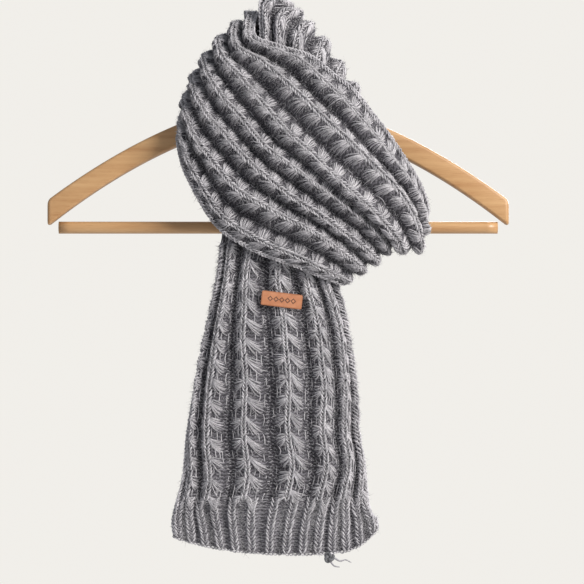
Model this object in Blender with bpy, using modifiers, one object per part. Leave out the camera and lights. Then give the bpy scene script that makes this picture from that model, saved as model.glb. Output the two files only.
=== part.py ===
"""A ribbed knit scarf wound once round a wooden clothes hanger.

One long knitted strip makes the whole scarf. It starts at the hem of the front
tail, climbs to the hanger's neck, folds over to the back, runs behind the hook,
folds forward again on the other side, crosses the front as a wide diagonal wrap,
turns under itself and ends as a second tail that hangs behind the first.

The strip is worked out from short tables of cross-sections. Each stretch of the
strip that shows is its own closed wall, 0.3 mm from the next one.

Frame: metres, +Z up, +X to the wearer's left, and the front faces -Y. The origin
is the inside top of the hook, where a rail holds the hanger.
"""
import math
from typing import NamedTuple

import bmesh
import bpy
import numpy as np

MM = 0.001
JOINT_GAP = 0.3 * MM          # clear space between touching pieces

# --- the knitted wall ---------------------------------------------------------
RIBS = 7                      # raised ribs across the strip
COLUMNS_PER_RIB = 4
HEM_RIBS_PER_RIB = 2          # narrow ribs of the hem for each rib of the body
WALL = 3.6 * MM               # the fabric, measured square to the strip
RIB_RELIEF = 3.9 * MM         # crest or valley, from the middle of the wall
HEM_RELIEF = 2.0 * MM
EDGE_FADE = 0.11              # share of the width over which ribs flatten at an edge
ROW_STEP = 13.0 * MM          # mesh rows along the strip
FOLD_WEIGHT = 9.0 * MM        # each radian of turning counts as this much length
CROWN_ANGLE = 75.0            # least angle that a section's crown turns through


class Section(NamedTuple):
    """One cross-section of the strip, in millimetres and degrees."""

    x: float                  # middle of the section
    y: float
    z: float
    half: float               # half of the width that shows
    lean: float               # turn of the section line in the XZ plane
    roll_left: float          # how far each edge curls round
    roll_right: float
    crown: float              # how far the edges fall back behind the middle
    bow: float                # how far the middle runs ahead along the ribs
    lobe: float               # how far the upper ribs run ahead
    tuck: float               # step between the upper three ribs and the rest
    relief: float             # share of RIB_RELIEF


FRONT_TAIL = [
    #         x    y     z  half lean roll_l roll_r crown bow lobe tuck relief
    Section(-2, -27, -544, 93, 0, 45, 45, 4, 0, 0, 0, 1),
    Section(-4, -27, -522, 92, 0, 45, 45, 4, 0, 0, 0, 1),
    Section(-6, -28, -504, 88, 0, 58, 60, 6, 0, 0, 0, 1),
    Section(-5, -30, -472, 83, 0, 72, 82, 10, 0, 0, 0, 1),
    Section(-5, -31, -439, 76, 0, 84, 90, 14, 0, 0, 0, 1),
    Section(-3, -32, -402, 71, 0, 90, 100, 16, 0, 0, 0, 1),
    Section(-1, -32, -365, 64, 0, 96, 102, 16, 0, 0, 0, 1),
    Section(0, -32, -331, 57, 0, 98, 98, 13, 0, 0, 0, 1),
    Section(0, -31, -298, 52, -2, 92, 84, 8, 0, 0, 0, 1),
    Section(1, -31, -262, 50, -6, 86, 80, 7, 0, 0, 0, 1),
]
NECK_FRONT = [
    Section(9, -30, -221, 50, -16, 80, 78, 6, 0, 0, 0, 1),
    Section(20, -27, -175, 54, -32, 76, 74, 6, 0, 0, 0, 1),
    Section(29, -24, -133, 62, -43, 74, 70, 8, 0, 0, 0, 1),
    Section(31, -20, -104, 72, -52, 72, 65, 8, 2, 0, 0, 1),
]
NECK_BACK = [
    Section(45, -2, -98, 60, -53, 65, 60, 6, 3, 0, 0, 1),
    Section(34, 15, -98, 55, -59, 60, 60, 6, 0, 0, 0, 0.8),
    Section(15, 20, -98, 53, -75, 60, 60, 6, 0, 0, 0, 0.8),
    Section(-10, 21, -101, 51, -94, 60, 60, 5, 0, 0, 0, 0.7),
    Section(-36, 21, -103, 49, -110, 60, 60, 4, 0, 0, 0, 0.7),
]
FRONT_WRAP = [
    Section(-54, 0, -103, 55, -124, 62, 62, 8, -9, 0, 0, 1),
    Section(-57, -30, -126, 57, -127, 62, 62, 7, -7, 0, 0, 1),
    Section(-44, -41, -140, 68, -133, 40, 40, 12, -3, 0, 0, 1),
    Section(-28, -48, -154, 78, -135, 30, 30, 17, 0, 0, 0, 1.1),
    Section(-4, -55, -184, 86, -130, 30, 30, 19, 0, 0, 2, 1.2),
    Section(22, -57, -205, 85, -126, 30, 30, 20, 0, 0, 5, 1.2),
    Section(57, -55, -231, 73, -125, 30, 30, 18, 0, 4, 8, 1.1),
    Section(83, -47, -256, 62, -132, 40, 40, 13, 0, 11, 8, 1),
    Section(96, -33, -273, 52, -139, 50, 50, 5, 2, 16, 3, 0.8),
]
BACK_TAIL = [
    Section(91, -17, -270, 48, -137, 50, 50, 2, 0, 9, 0, 0.8),
    Section(76, -14, -265, 45, -125, 45, 45, 2, 0, 0, 0, 0.7),
    Section(47, -14, -265, 40, -98, 45, 45, 2, 0, 0, 0, 0.6),
    Section(20, -14, -281, 34, -58, 55, 55, 2, 0, 0, 0, 0.5),
    Section(4, -14, -315, 34, -18, 60, 60, 2, 0, 0, 0, 0.6),
    Section(1, -14, -347, 41, -3, 70, 70, 2, 0, 0, 0, 0.8),
    Section(-1, -14, -402, 49, 0, 70, 70, 2, 0, 0, 0, 1),
    Section(-3, -14, -464, 62, 0, 65, 65, 2, 0, 0, 0, 1),
    Section(-4, -14, -500, 70, 0, 55, 55, 2, 0, 0, 0, 1),
    Section(-3, -14, -527, 77, 0, 45, 45, 2, 0, 0, 0, 1),
]
STRIP = np.array(FRONT_TAIL + NECK_FRONT + NECK_BACK + FRONT_WRAP + BACK_TAIL, float)
LAST = len(STRIP) - 1

# sideways wander of each rib at some rows, as a share of the half width
WANDER = {
    0: (0.0, 0.0, 0.0, 0.02, 0.02, 0.0, 0.0),
    1: (0.0, -0.02, 0.0, 0.07, 0.07, 0.03, 0.0),
    2: (0.0, -0.05, 0.01, 0.12, 0.12, 0.05, 0.0),
    3: (0.0, -0.05, 0.03, 0.13, 0.12, 0.05, 0.0),
    4: (0.0, -0.05, 0.03, 0.13, 0.12, 0.04, 0.0),
    5: (0.0, -0.06, 0.01, 0.09, 0.08, 0.0, 0.0),
    6: (0.0, -0.06, -0.04, 0.08, 0.08, 0.01, 0.0),
    7: (0.0, -0.06, -0.07, 0.07, 0.10, 0.04, 0.0),
    8: (0.0, -0.06, -0.07, 0.07, 0.11, 0.05, 0.0),
    9: (0.0, -0.06, -0.03, 0.10, 0.12, 0.05, 0.0),
    10: (0.0, -0.03, -0.01, 0.07, 0.06, 0.03, 0.0),
    12: (0.03, 0.07, 0.03, 0.08, 0.05, 0.04, 0.02),
    13: (0.02, 0.04, 0.05, 0.09, 0.08, 0.06, 0.03),
    14: (-0.03, -0.12, -0.16, -0.18, -0.08, 0.0, 0.03),
    15: (0.0, -0.04, -0.07, -0.08, -0.04, 0.0, 0.0),
    20: (0.02, -0.02, -0.06, -0.06, -0.06, -0.05, -0.03),
    21: (0.0, -0.04, 0.0, 0.04, 0.03, 0.03, -0.01),
    22: (0.0, 0.02, 0.09, 0.08, 0.04, 0.04, 0.01),
    23: (0.02, 0.02, 0.09, 0.05, -0.03, -0.03, 0.0),
    24: (0.04, 0.04, 0.12, 0.02, -0.02, -0.09, -0.02),
    25: (0.06, 0.03, 0.17, 0.02, 0.0, -0.10, -0.01),
    26: (0.07, 0.02, 0.13, -0.03, -0.04, -0.10, -0.03),
    27: (0.18, 0.16, 0.08, -0.03, -0.08, -0.10, -0.04),
    28: (0.10, 0.10, 0.05, 0.0, -0.04, -0.05, -0.02),
}
WANDER_TABLE = np.array([WANDER.get(row, (0.0,) * RIBS) for row in range(LAST + 1)])

# each stretch runs between two rows of the whole table
STRETCHES = {
    "scarf_front_tail": (0.0, 9.5),
    "scarf_neck_front": (9.5, 13.6),
    "scarf_neck_back": (13.6, 18.5),
    "scarf_front_wrap": (18.5, 27.3),
    "scarf_back_tail": (27.3, float(LAST)),
}
FRONT_HEM_ROWS = (1.7, 2.3)   # the hem ends between these rows
BACK_HEM_ROWS = (LAST - 1.2, LAST - 0.7)

# --- the front hem's lower edge: it dips in the middle and lifts at one corner -
HEM_DIP = 5.0 * MM
HEM_DIP_CENTRE = 0.15
HEM_DIP_RISE = 12.0 * MM
HEM_CORNER = 0.6
HEM_CORNER_RISE = 100.0 * MM
HEM_EDGE_REACH = 1.6          # rows over which the edge's shape dies away

# --- label and yarn end -------------------------------------------------------
LABEL_SIZE = (37.0 * MM, 13.2 * MM, 1.5 * MM)
LABEL_CENTRE = (3.4 * MM, -39.0 * MM, -320.3 * MM)
LABEL_TURN = math.radians(7.0)
LABEL_CORNER = 1.6 * MM
LABEL_CORNER_STEPS = 4
KNOT_CENTRE = (46.0 * MM, -27.0 * MM, -552.9 * MM)
KNOT_RADII = (4.6 * MM, 3.4 * MM, 3.6 * MM)
YARN_RADIUS = 1.1 * MM
YARN_ENDS = {
    "yarn_end_long": [(51.6, -27.5, -553.3), (56.0, -28.5, -555.5), (61.0, -28.0, -554.5), (66.0, -27.0, -557.0)],
    "yarn_end_short": [(48.4, -27.5, -557.5), (51.0, -28.0, -560.1), (55.5, -27.5, -561.0)],
}

# --- hanger -------------------------------------------------------------------
ARM_HALF_SPAN = 210.0 * MM
ARM_APEX_Z = -136.5 * MM
ARM_SLOPE = 0.218             # at the neck
ARM_CURVE = 1.376             # extra fall for each metre, squared
ARM_BLEND = 18.0 * MM         # rounds the arms' meeting point
ARM_HEIGHT = 19.0 * MM
ARM_END_GROWTH = 5.0 * MM
ARM_THICKNESS = 16.0 * MM
ARM_STATIONS = 17
ARM_EDGE = 3.0 * MM
BAR_Z = -254.5 * MM
BAR_RADIUS = 5.5 * MM
BAR_HALF = 200.0 * MM
WIRE_RADIUS = 2.0 * MM
EYE_RADIUS = 19.0 * MM        # inside of the hook
EYE_FROM, EYE_TO = -52.0, 205.0
SHANK_TOP_Z = -56.0 * MM
SHANK_DEPTH = 18.0 * MM       # how deep the wire stands in the wood
ROUND_SIDES = 20

COLOURS = {
    "knit": ((0.235, 0.238, 0.255), 0.95, 0.0),
    "leather": ((0.72, 0.30, 0.12), 0.6, 0.0),
    "wood": ((0.60, 0.35, 0.16), 0.5, 0.0),
    "steel": ((0.62, 0.62, 0.64), 0.3, 1.0),
}


def catmull_rom(table, rows):
    """Read the table at fractional rows, on a smooth curve through them."""
    padded = np.vstack([2 * table[0] - table[1], table, 2 * table[-1] - table[-2]])
    rows = np.clip(np.asarray(rows, float), 0, len(table) - 1)
    cell = np.minimum(rows.astype(int), len(table) - 2)
    t = (rows - cell)[:, None]
    before, start, end, after = (padded[cell + k] for k in range(4))
    return 0.5 * (
        2 * start
        + (end - before) * t
        + (2 * before - 5 * start + 4 * end - after) * t**2
        + (3 * start - before - 3 * end + after) * t**3
    )


def smooth_step(value):
    """Ease from 0 to 1."""
    value = np.clip(value, 0.0, 1.0)
    return value * value * (3 - 2 * value)


def unit(vectors):
    """Scale vectors to length 1."""
    return vectors / np.linalg.norm(vectors, axis=-1, keepdims=True)


def rib_wander(u, rows):
    """Sideways wander along each row, read between the ribs' crests and none at either edge."""
    places = np.concatenate([[0], (np.arange(RIBS) + 0.5) / RIBS, [1]])
    return np.array([np.interp(u, places, (0.0, *line, 0.0)) for line in catmull_rom(WANDER_TABLE, rows)])


def hem_edge(u):
    """How far the front hem's lower edge hangs below its straight line."""
    side = 2 * u - 1
    corner = np.maximum(side - HEM_CORNER, 0.0)
    dip = HEM_DIP - HEM_DIP_RISE * (side - HEM_DIP_CENTRE) ** 2
    return dip - HEM_CORNER_RISE * corner**2


def base_surface(u, rows):
    """The strip's middle surface without its ribs, one line of points a row."""
    sections = catmull_rom(STRIP, rows)
    step = 0.001
    ahead = catmull_rom(STRIP, rows + step)
    behind = catmull_rom(STRIP, rows - step)
    centre = sections[:, :3] * MM
    along = unit(ahead[:, :3] - behind[:, :3])
    lean = np.radians(sections[:, 4])
    flat = np.zeros_like(lean)
    across = np.stack([np.cos(lean), flat, np.sin(lean)], axis=1)
    forward = np.stack([-np.sin(lean), flat, np.cos(lean)], axis=1)
    out = unit(np.cross(across, along))

    half, crown, bow, lobe, tuck = (sections[:, k, None] for k in (3, 7, 8, 9, 10))
    left, right = sections[:, 5, None], sections[:, 6, None]
    angle = (left + right) * u[None] - left
    widest = np.maximum(left, right)
    share = np.sin(np.radians(angle)) / np.sin(np.radians(np.minimum(widest, 90.0)))
    crown_angle = np.radians(angle * np.maximum(1.0, CROWN_ANGLE / widest))
    upper = np.clip(u * RIBS / 3, 0, 1)[None]

    sideways = half * (share + rib_wander(u, rows)) * MM
    outward = (tuck * smooth_step((0.5 - u[None]) / 0.1) - crown * (1 - np.cos(crown_angle))) * MM
    ahead_by = (bow * (1 - share**2) + lobe * np.sin(np.pi * upper)) * MM
    points = (
        centre[:, None]
        + across[:, None] * sideways[..., None]
        + out[:, None] * outward[..., None]
        + forward[:, None] * ahead_by[..., None]
    )
    fade = smooth_step(1 - rows / HEM_EDGE_REACH)[:, None]
    points[..., 2] -= fade * hem_edge(u)[None]
    return points


def surface_normals(u, rows):
    """Outward normals of the middle surface, from its slopes both ways."""
    step = 0.004
    u_low, u_high = np.maximum(u - step, 0), np.minimum(u + step, 1)
    row_low, row_high = np.maximum(rows - step, 0), np.minimum(rows + step, LAST)
    across = base_surface(u_high, rows) - base_surface(u_low, rows)
    along = base_surface(u, row_high) - base_surface(u, row_low)
    return unit(np.cross(across, along))


def rib_height(u, rows):
    """Ribs as rounded ridges with narrow valleys, and the finer ribs of the hems."""
    body = 2 * np.abs(np.sin(np.pi * RIBS * u)) ** 0.8 - 1
    hem = 2 * np.abs(np.sin(np.pi * RIBS * HEM_RIBS_PER_RIB * u)) - 1
    edge = smooth_step(np.minimum(u, 1 - u) / EDGE_FADE)
    start, end = FRONT_HEM_ROWS
    front_hem = smooth_step((end - rows) / (end - start))
    start, end = BACK_HEM_ROWS
    back_hem = smooth_step((rows - start) / (end - start))
    hem_share = np.maximum(front_hem, back_hem)[:, None]
    relief = RIB_RELIEF * catmull_rom(STRIP, rows)[:, 11, None]
    return relief * (1 - hem_share) * (body * edge)[None] + HEM_RELIEF * hem_share * hem[None]


def rows_by_length(first, last):
    """Rows between two places of the strip, spaced along its middle and closer at folds."""
    fine = np.linspace(first, last, 400)
    moves = np.diff(base_surface(np.array([0.5]), fine)[:, 0], axis=0)
    steps = np.linalg.norm(moves, axis=1)
    turns = np.linalg.norm(np.diff(unit(moves), axis=0, prepend=unit(moves[:1])), axis=1)
    length = np.concatenate([[0], np.cumsum(steps)])
    measure = np.concatenate([[0], np.cumsum(steps + FOLD_WEIGHT * turns)])
    count = max(2, round(measure[-1] / ROW_STEP) + 1)
    trim = JOINT_GAP / 2
    start, end = np.interp([trim, length[-1] - trim], length, measure)
    return np.interp(np.linspace(start, end, count), measure, fine)


def wall_mesh(name, front, back):
    """A closed wall between two grids of points that face each other."""
    row_count, column_count, _ = front.shape
    grid = np.arange(row_count * column_count).reshape(row_count, column_count)
    other = grid + grid.size

    def quads(a, b, c, d):
        return np.stack([a, b, c, d], axis=-1).reshape(-1, 4)

    faces = [
        quads(grid[:-1, :-1], grid[:-1, 1:], grid[1:, 1:], grid[1:, :-1]),
        quads(other[:-1, :-1], other[1:, :-1], other[1:, 1:], other[:-1, 1:]),
        quads(grid[0, 1:], grid[0, :-1], other[0, :-1], other[0, 1:]),
        quads(grid[-1, :-1], grid[-1, 1:], other[-1, 1:], other[-1, :-1]),
        quads(grid[:-1, 0], grid[1:, 0], other[1:, 0], other[:-1, 0]),
        quads(grid[1:, -1], grid[:-1, -1], other[:-1, -1], other[1:, -1]),
    ]
    points = np.concatenate([front.reshape(-1, 3), back.reshape(-1, 3)])
    mesh = bpy.data.meshes.new(name)
    mesh.from_pydata(points.tolist(), [], np.concatenate(faces).tolist())
    mesh.update()
    mesh.shade_smooth()
    return mesh


def make_material(slot):
    """One Principled material for a material slot."""
    colour, roughness, metallic = COLOURS[slot]
    material = bpy.data.materials.new(slot)
    material.use_nodes = True
    shader = material.node_tree.nodes["Principled BSDF"]
    shader.inputs["Base Color"].default_value = (*colour, 1.0)
    shader.inputs["Roughness"].default_value = roughness
    shader.inputs["Metallic"].default_value = metallic
    material.diffuse_color = (*colour, 1.0)
    return material


def add_object(name, data, slot, collection, parent):
    """Put a mesh or curve in the scene under the part's empty."""
    item = bpy.data.objects.new(name, data)
    collection.objects.link(item)
    if parent is not None:
        item.parent = parent
    data.materials.append(bpy.data.materials[slot])
    return item


def add_scarf(collection, parent):
    """Each stretch of the strip as a ribbed wall."""
    columns = np.linspace(0, 1, RIBS * COLUMNS_PER_RIB + 1)
    for name, (first, last) in STRETCHES.items():
        rows = rows_by_length(first, last)
        middle = base_surface(columns, rows)
        normals = surface_normals(columns, rows)
        relief = rib_height(columns, rows)[..., None]
        front = middle + normals * (relief + WALL / 2)
        back = middle + normals * (relief - WALL / 2)
        add_object(name, wall_mesh(name, front, back), "knit", collection, parent)


def rounded_rectangle(width, height, corner, steps):
    """Outline points of a rectangle with round corners, anticlockwise."""
    points = []
    for quarter, (sx, sy) in enumerate([(1, 1), (-1, 1), (-1, -1), (1, -1)]):
        for step in range(steps + 1):
            turn = math.pi / 2 * (quarter + step / steps)
            x = sx * (width / 2 - corner) + corner * math.cos(turn)
            y = sy * (height / 2 - corner) + corner * math.sin(turn)
            points.append((x, y))
    return points


def add_label(collection, parent):
    """A flat leather label with round corners, lying on the front tail's ribs."""
    width, height, thickness = LABEL_SIZE
    outline = rounded_rectangle(width, height, LABEL_CORNER, LABEL_CORNER_STEPS)
    curve = bpy.data.curves.new("label", "CURVE")
    curve.dimensions = "2D"
    curve.fill_mode = "BOTH"
    curve.extrude = thickness / 2
    spline = curve.splines.new("POLY")
    spline.points.add(len(outline) - 1)
    for point, (x, y) in zip(spline.points, outline):
        point.co = (x, y, 0.0, 1.0)
    spline.use_cyclic_u = True
    label = add_object("label", curve, "leather", collection, parent)
    label.location = LABEL_CENTRE
    label.rotation_euler = (math.pi / 2, LABEL_TURN, 0.0)


def tube_curve(name, points, radius, sides_level):
    """A round wire through points, closed at both ends."""
    curve = bpy.data.curves.new(name, "CURVE")
    curve.dimensions = "3D"
    curve.bevel_depth = radius
    curve.bevel_resolution = sides_level
    curve.use_fill_caps = True
    spline = curve.splines.new("POLY")
    spline.points.add(len(points) - 1)
    for point, place in zip(spline.points, points):
        point.co = (*place, 1.0)
    return curve


def add_yarn(collection, parent):
    """The finishing knot under the hem and its two loose ends."""
    mesh = bpy.data.meshes.new("yarn_knot")
    shape = bmesh.new()
    bmesh.ops.create_uvsphere(shape, u_segments=12, v_segments=8, radius=1.0)
    bmesh.ops.scale(shape, vec=KNOT_RADII, verts=shape.verts)
    shape.to_mesh(mesh)
    shape.free()
    mesh.shade_smooth()
    knot = add_object("yarn_knot", mesh, "knit", collection, parent)
    knot.location = KNOT_CENTRE
    for name, route in YARN_ENDS.items():
        points = catmull_rom(np.array(route) * MM, np.linspace(0, len(route) - 1, 7))
        add_object(name, tube_curve(name, points, YARN_RADIUS, 1), "knit", collection, parent)


def arm_top(x):
    """Height of the arms' top edge: a rounded peak that falls ever faster."""
    reach = np.sqrt(x**2 + ARM_BLEND**2) - ARM_BLEND
    return ARM_APEX_Z - ARM_SLOPE * reach - ARM_CURVE * reach**2


def add_cutter(name, radius, depth, matrix, collection):
    """A cylinder that a Boolean takes away; it isn't part of the model."""
    mesh = bpy.data.meshes.new(name)
    shape = bmesh.new()
    bmesh.ops.create_cone(
        shape, cap_ends=True, segments=ROUND_SIDES, radius1=radius, radius2=radius, depth=depth
    )
    shape.to_mesh(mesh)
    shape.free()
    cutter = bpy.data.objects.new(name, mesh)
    collection.objects.link(cutter)
    cutter.location, cutter.rotation_euler = matrix
    cutter.hide_render = True
    cutter.display_type = "WIRE"
    return cutter


def add_shoulders(collection, cutters, parent):
    """Both arms of the hanger in one piece of wood, bored for the hook and the bar."""
    x = np.linspace(-ARM_HALF_SPAN, ARM_HALF_SPAN, 2 * ARM_STATIONS - 1)
    top = arm_top(x)
    height = ARM_HEIGHT + ARM_END_GROWTH * (x / ARM_HALF_SPAN) ** 2
    outline = list(zip(x, top)) + list(zip(x[::-1], (top - height)[::-1]))
    shape = bmesh.new()
    verts = [shape.verts.new((px, -ARM_THICKNESS / 2, pz)) for px, pz in outline]
    face = shape.faces.new(verts)
    grown = bmesh.ops.extrude_face_region(shape, geom=[face])
    moved = [item for item in grown["geom"] if isinstance(item, bmesh.types.BMVert)]
    bmesh.ops.translate(shape, vec=(0, ARM_THICKNESS, 0), verts=moved)
    bmesh.ops.recalc_face_normals(shape, faces=shape.faces)
    mesh = bpy.data.meshes.new("hanger_shoulders")
    shape.to_mesh(mesh)
    shape.free()
    shoulders = add_object("hanger_shoulders", mesh, "wood", collection, parent)

    bevel = shoulders.modifiers.new("round_edges", "BEVEL")
    bevel.width = ARM_EDGE
    bevel.segments = 2
    bevel.limit_method = "ANGLE"
    bevel.angle_limit = math.radians(50)
    bore_place = ((0, 0, ARM_APEX_Z), (0, 0, 0))
    bar_place = ((0, 0, BAR_Z), (0, math.pi / 2, 0))
    bores = [
        add_cutter("hook_bore", WIRE_RADIUS + JOINT_GAP, 2 * (SHANK_DEPTH + JOINT_GAP), bore_place, cutters),
        add_cutter("bar_bore", BAR_RADIUS + JOINT_GAP, 2 * (BAR_HALF + JOINT_GAP), bar_place, cutters),
    ]
    for bore in bores:
        cut = shoulders.modifiers.new(bore.name, "BOOLEAN")
        cut.operation = "DIFFERENCE"
        cut.object = bore


def add_bar(collection, parent):
    """The round trouser bar between the ends of the arms."""
    mesh = bpy.data.meshes.new("hanger_bar")
    shape = bmesh.new()
    bmesh.ops.create_cone(
        shape, cap_ends=True, segments=ROUND_SIDES, radius1=BAR_RADIUS, radius2=BAR_RADIUS, depth=2 * BAR_HALF
    )
    shape.to_mesh(mesh)
    shape.free()
    mesh.shade_smooth()
    mesh.set_sharp_from_angle(angle=math.radians(40))
    bar = add_object("hanger_bar", mesh, "wood", collection, parent)
    bar.location = (0, 0, BAR_Z)
    bar.rotation_euler = (0, math.pi / 2, 0)


def add_hook(collection, parent):
    """The steel hook: a shank that sways out and runs round the eye."""
    centre_z = -EYE_RADIUS
    ring = EYE_RADIUS + WIRE_RADIUS
    turns = np.radians(np.linspace(EYE_FROM, EYE_TO, 26))
    eye = np.stack([ring * np.cos(turns), 0 * turns, centre_z + ring * np.sin(turns)], axis=1)
    foot_z = ARM_APEX_Z - SHANK_DEPTH
    # the sway is a Bezier curve from the shank's top to the start of the eye
    start = np.array([0.0, 0.0, SHANK_TOP_Z])
    lead_in = np.array([0.0, 0.0, 0.012])
    lead_out = np.array([-math.sin(turns[0]), 0.0, math.cos(turns[0])]) * 0.009
    t = np.linspace(0, 1, 9)[:-1, None]
    sway = (
        (1 - t) ** 3 * start
        + 3 * t * (1 - t) ** 2 * (start + lead_in)
        + 3 * t**2 * (1 - t) * (eye[0] - lead_out)
        + t**3 * eye[0]
    )
    shank = np.array([[0, 0, foot_z], [0, 0, (foot_z + SHANK_TOP_Z) / 2]])
    points = np.concatenate([shank, sway, eye])
    add_object("hook", tube_curve("hook", points, WIRE_RADIUS, 2), "steel", collection, parent)


def main():
    """Build the scarf, its trims and the hanger."""
    for item in list(bpy.data.objects):
        bpy.data.objects.remove(item, do_unlink=True)
    collection = bpy.data.collections.new("knit_scarf_on_hanger")
    cutters = bpy.data.collections.new("cutters")
    bpy.context.scene.collection.children.link(collection)
    bpy.context.scene.collection.children.link(cutters)
    for slot in COLOURS:
        make_material(slot)
    parent = bpy.data.objects.new("hang_point", None)
    collection.objects.link(parent)
    add_scarf(collection, parent)
    add_label(collection, parent)
    add_yarn(collection, parent)
    add_shoulders(collection, cutters, parent)
    add_bar(collection, parent)
    add_hook(collection, parent)


main()
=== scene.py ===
"""The looks of a ribbed knit scarf wound round the neck of a wooden clothes hanger.

The scarf is one long strip. Its middle surface is a function of two parameters: the
share of the width, u, and the row of a short table of cross-sections. Each stretch of
the strip that shows gets a relief shell, chains of V stitches on the crests of its
ribs, fans of strands on their flanks, and a fuzz of loose fibres. The hanger's arms,
bar and hook, the leather label and the finishing knot are surfaces worked out the
same way.

Frame: metres, +Z up, the front faces -Y, and the origin is the hook's inside top.
"""
from __future__ import annotations

import enum
import logging
import math
from dataclasses import dataclass, field
from typing import NamedTuple

import bpy
import numpy as np
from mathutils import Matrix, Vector

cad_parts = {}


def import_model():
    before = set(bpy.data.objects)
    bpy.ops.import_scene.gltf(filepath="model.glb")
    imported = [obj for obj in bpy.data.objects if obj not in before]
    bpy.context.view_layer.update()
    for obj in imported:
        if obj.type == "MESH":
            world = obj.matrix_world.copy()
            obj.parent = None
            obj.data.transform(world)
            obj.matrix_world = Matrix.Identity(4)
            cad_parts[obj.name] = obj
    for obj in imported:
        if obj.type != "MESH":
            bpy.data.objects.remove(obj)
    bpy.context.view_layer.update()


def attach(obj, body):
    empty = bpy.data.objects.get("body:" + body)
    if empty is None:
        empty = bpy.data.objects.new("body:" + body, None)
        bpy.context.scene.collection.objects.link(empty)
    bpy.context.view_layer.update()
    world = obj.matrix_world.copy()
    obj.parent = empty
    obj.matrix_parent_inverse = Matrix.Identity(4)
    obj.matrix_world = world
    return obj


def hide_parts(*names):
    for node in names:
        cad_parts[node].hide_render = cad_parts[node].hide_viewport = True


LOG = logging.getLogger("knit_scarf")

Socket = bpy.types.NodeSocket
Feed = Socket | float | tuple[float, ...]     # what an input gets: a link, or a value of its own
Triple = tuple[float, float, float]           # a place or a colour
Numbers = np.ndarray | float

MM = 0.001
ROOT = "root"

# --- the knitted strip ---------------------------------------------------------
RIBS = 7
HEM_RIBS_PER_RIB = 2
RIB_RELIEF = 3.9 * MM         # crest or valley, from the middle of the wall
RIB_ROUNDNESS = 0.8           # under 1 for crests rounder than a sine's
HEM_RELIEF = 2.0 * MM
RIB_SHIFT = 0.1               # how far a rib's crest stands beyond its chain, in ribs
EDGE_FADE = 0.11              # share of the width over which ribs flatten at an edge
CROWN_ANGLE = 75.0            # least angle that a section's crown turns through
JOINT_GAP = 0.3 * MM
HEM_DIP = 5.0 * MM            # how far the front hem's edge hangs at its lowest
HEM_DIP_CENTRE = 0.15         # and where that is, in half widths from the middle
HEM_DIP_RISE = 12.0 * MM      # how fast the edge rises from there
HEM_CORNER = 0.6              # half widths at which the lifted corner starts
HEM_CORNER_RISE = 100.0 * MM
HEM_EDGE_REACH = 1.6          # rows over which the edge's shape dies away

# --- the fabric's finer form ---------------------------------------------------
SHELL_FRONT = 0.9 * MM        # the shell's two faces, from the ribs' middle
SHELL_BACK = 1.5 * MM
FAN_PITCH = 17.6 * MM         # one fan of strands on each flank of a rib
STITCH_PITCH = 3.3 * MM       # one V of a chain
PURL_WIDTH = 4.1 * MM         # one purl bump of the ground
EDGE_CHAINS = (0.008, 0.992)  # shares of the width at which the two edge chains lie

# --- the label's place ---------------------------------------------------------
LABEL_CENTRE = (3.4 * MM, -39.0 * MM, -320.3 * MM)
LABEL_TURN = math.radians(7.0)


class Section(NamedTuple):
    """One cross-section of the strip, in millimetres and degrees."""

    x: float                  # middle of the section
    y: float
    z: float
    half: float               # half of the width that shows
    lean: float               # turn of the section line in the XZ plane
    roll_left: float          # how far each edge curls round
    roll_right: float
    crown: float              # how far the edges fall back behind the middle
    bow: float = 0.0          # how far the middle runs ahead along the ribs
    lobe: float = 0.0         # how far the upper ribs run ahead
    tuck: float = 0.0         # step between the upper three ribs and the rest
    relief: float = 1.0       # share of RIB_RELIEF


FRONT_TAIL = [
    Section(-2, -27, -544, 93, 0, 45, 45, 4),
    Section(-4, -27, -522, 92, 0, 45, 45, 4),
    Section(-6, -28, -504, 88, 0, 58, 60, 6),
    Section(-5, -30, -472, 83, 0, 72, 82, 10),
    Section(-5, -31, -439, 76, 0, 84, 90, 14),
    Section(-3, -32, -402, 71, 0, 90, 100, 16),
    Section(-1, -32, -365, 64, 0, 96, 102, 16),
    Section(0, -32, -331, 57, 0, 98, 98, 13),
    Section(0, -31, -298, 52, -2, 92, 84, 8),
    Section(1, -31, -262, 50, -6, 86, 80, 7),
]
NECK_FRONT = [
    Section(9, -30, -221, 50, -16, 80, 78, 6),
    Section(20, -27, -175, 54, -32, 76, 74, 6),
    Section(29, -24, -133, 62, -43, 74, 70, 8),
    Section(31, -20, -104, 72, -52, 72, 65, 8, bow=2),
]
NECK_BACK = [
    Section(45, -2, -98, 60, -53, 65, 60, 6, bow=3),
    Section(34, 15, -98, 55, -59, 60, 60, 6, relief=0.8),
    Section(15, 20, -98, 53, -75, 60, 60, 6, relief=0.8),
    Section(-10, 21, -101, 51, -94, 60, 60, 5, relief=0.7),
    Section(-36, 21, -103, 49, -110, 60, 60, 4, relief=0.7),
]
FRONT_WRAP = [
    Section(-54, 0, -103, 55, -124, 62, 62, 8, bow=-9),
    Section(-57, -30, -126, 57, -127, 62, 62, 7, bow=-7),
    Section(-44, -41, -140, 68, -133, 40, 40, 12, bow=-3),
    Section(-28, -48, -154, 78, -135, 30, 30, 17, relief=1.1),
    Section(-4, -55, -184, 86, -130, 30, 30, 19, tuck=2, relief=1.2),
    Section(22, -57, -205, 85, -126, 30, 30, 20, tuck=5, relief=1.2),
    Section(57, -55, -231, 73, -125, 30, 30, 18, lobe=4, tuck=8, relief=1.1),
    Section(83, -47, -256, 62, -132, 40, 40, 13, lobe=11, tuck=8),
    Section(96, -33, -273, 52, -139, 50, 50, 5, bow=2, lobe=16, tuck=3, relief=0.8),
]
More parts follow.
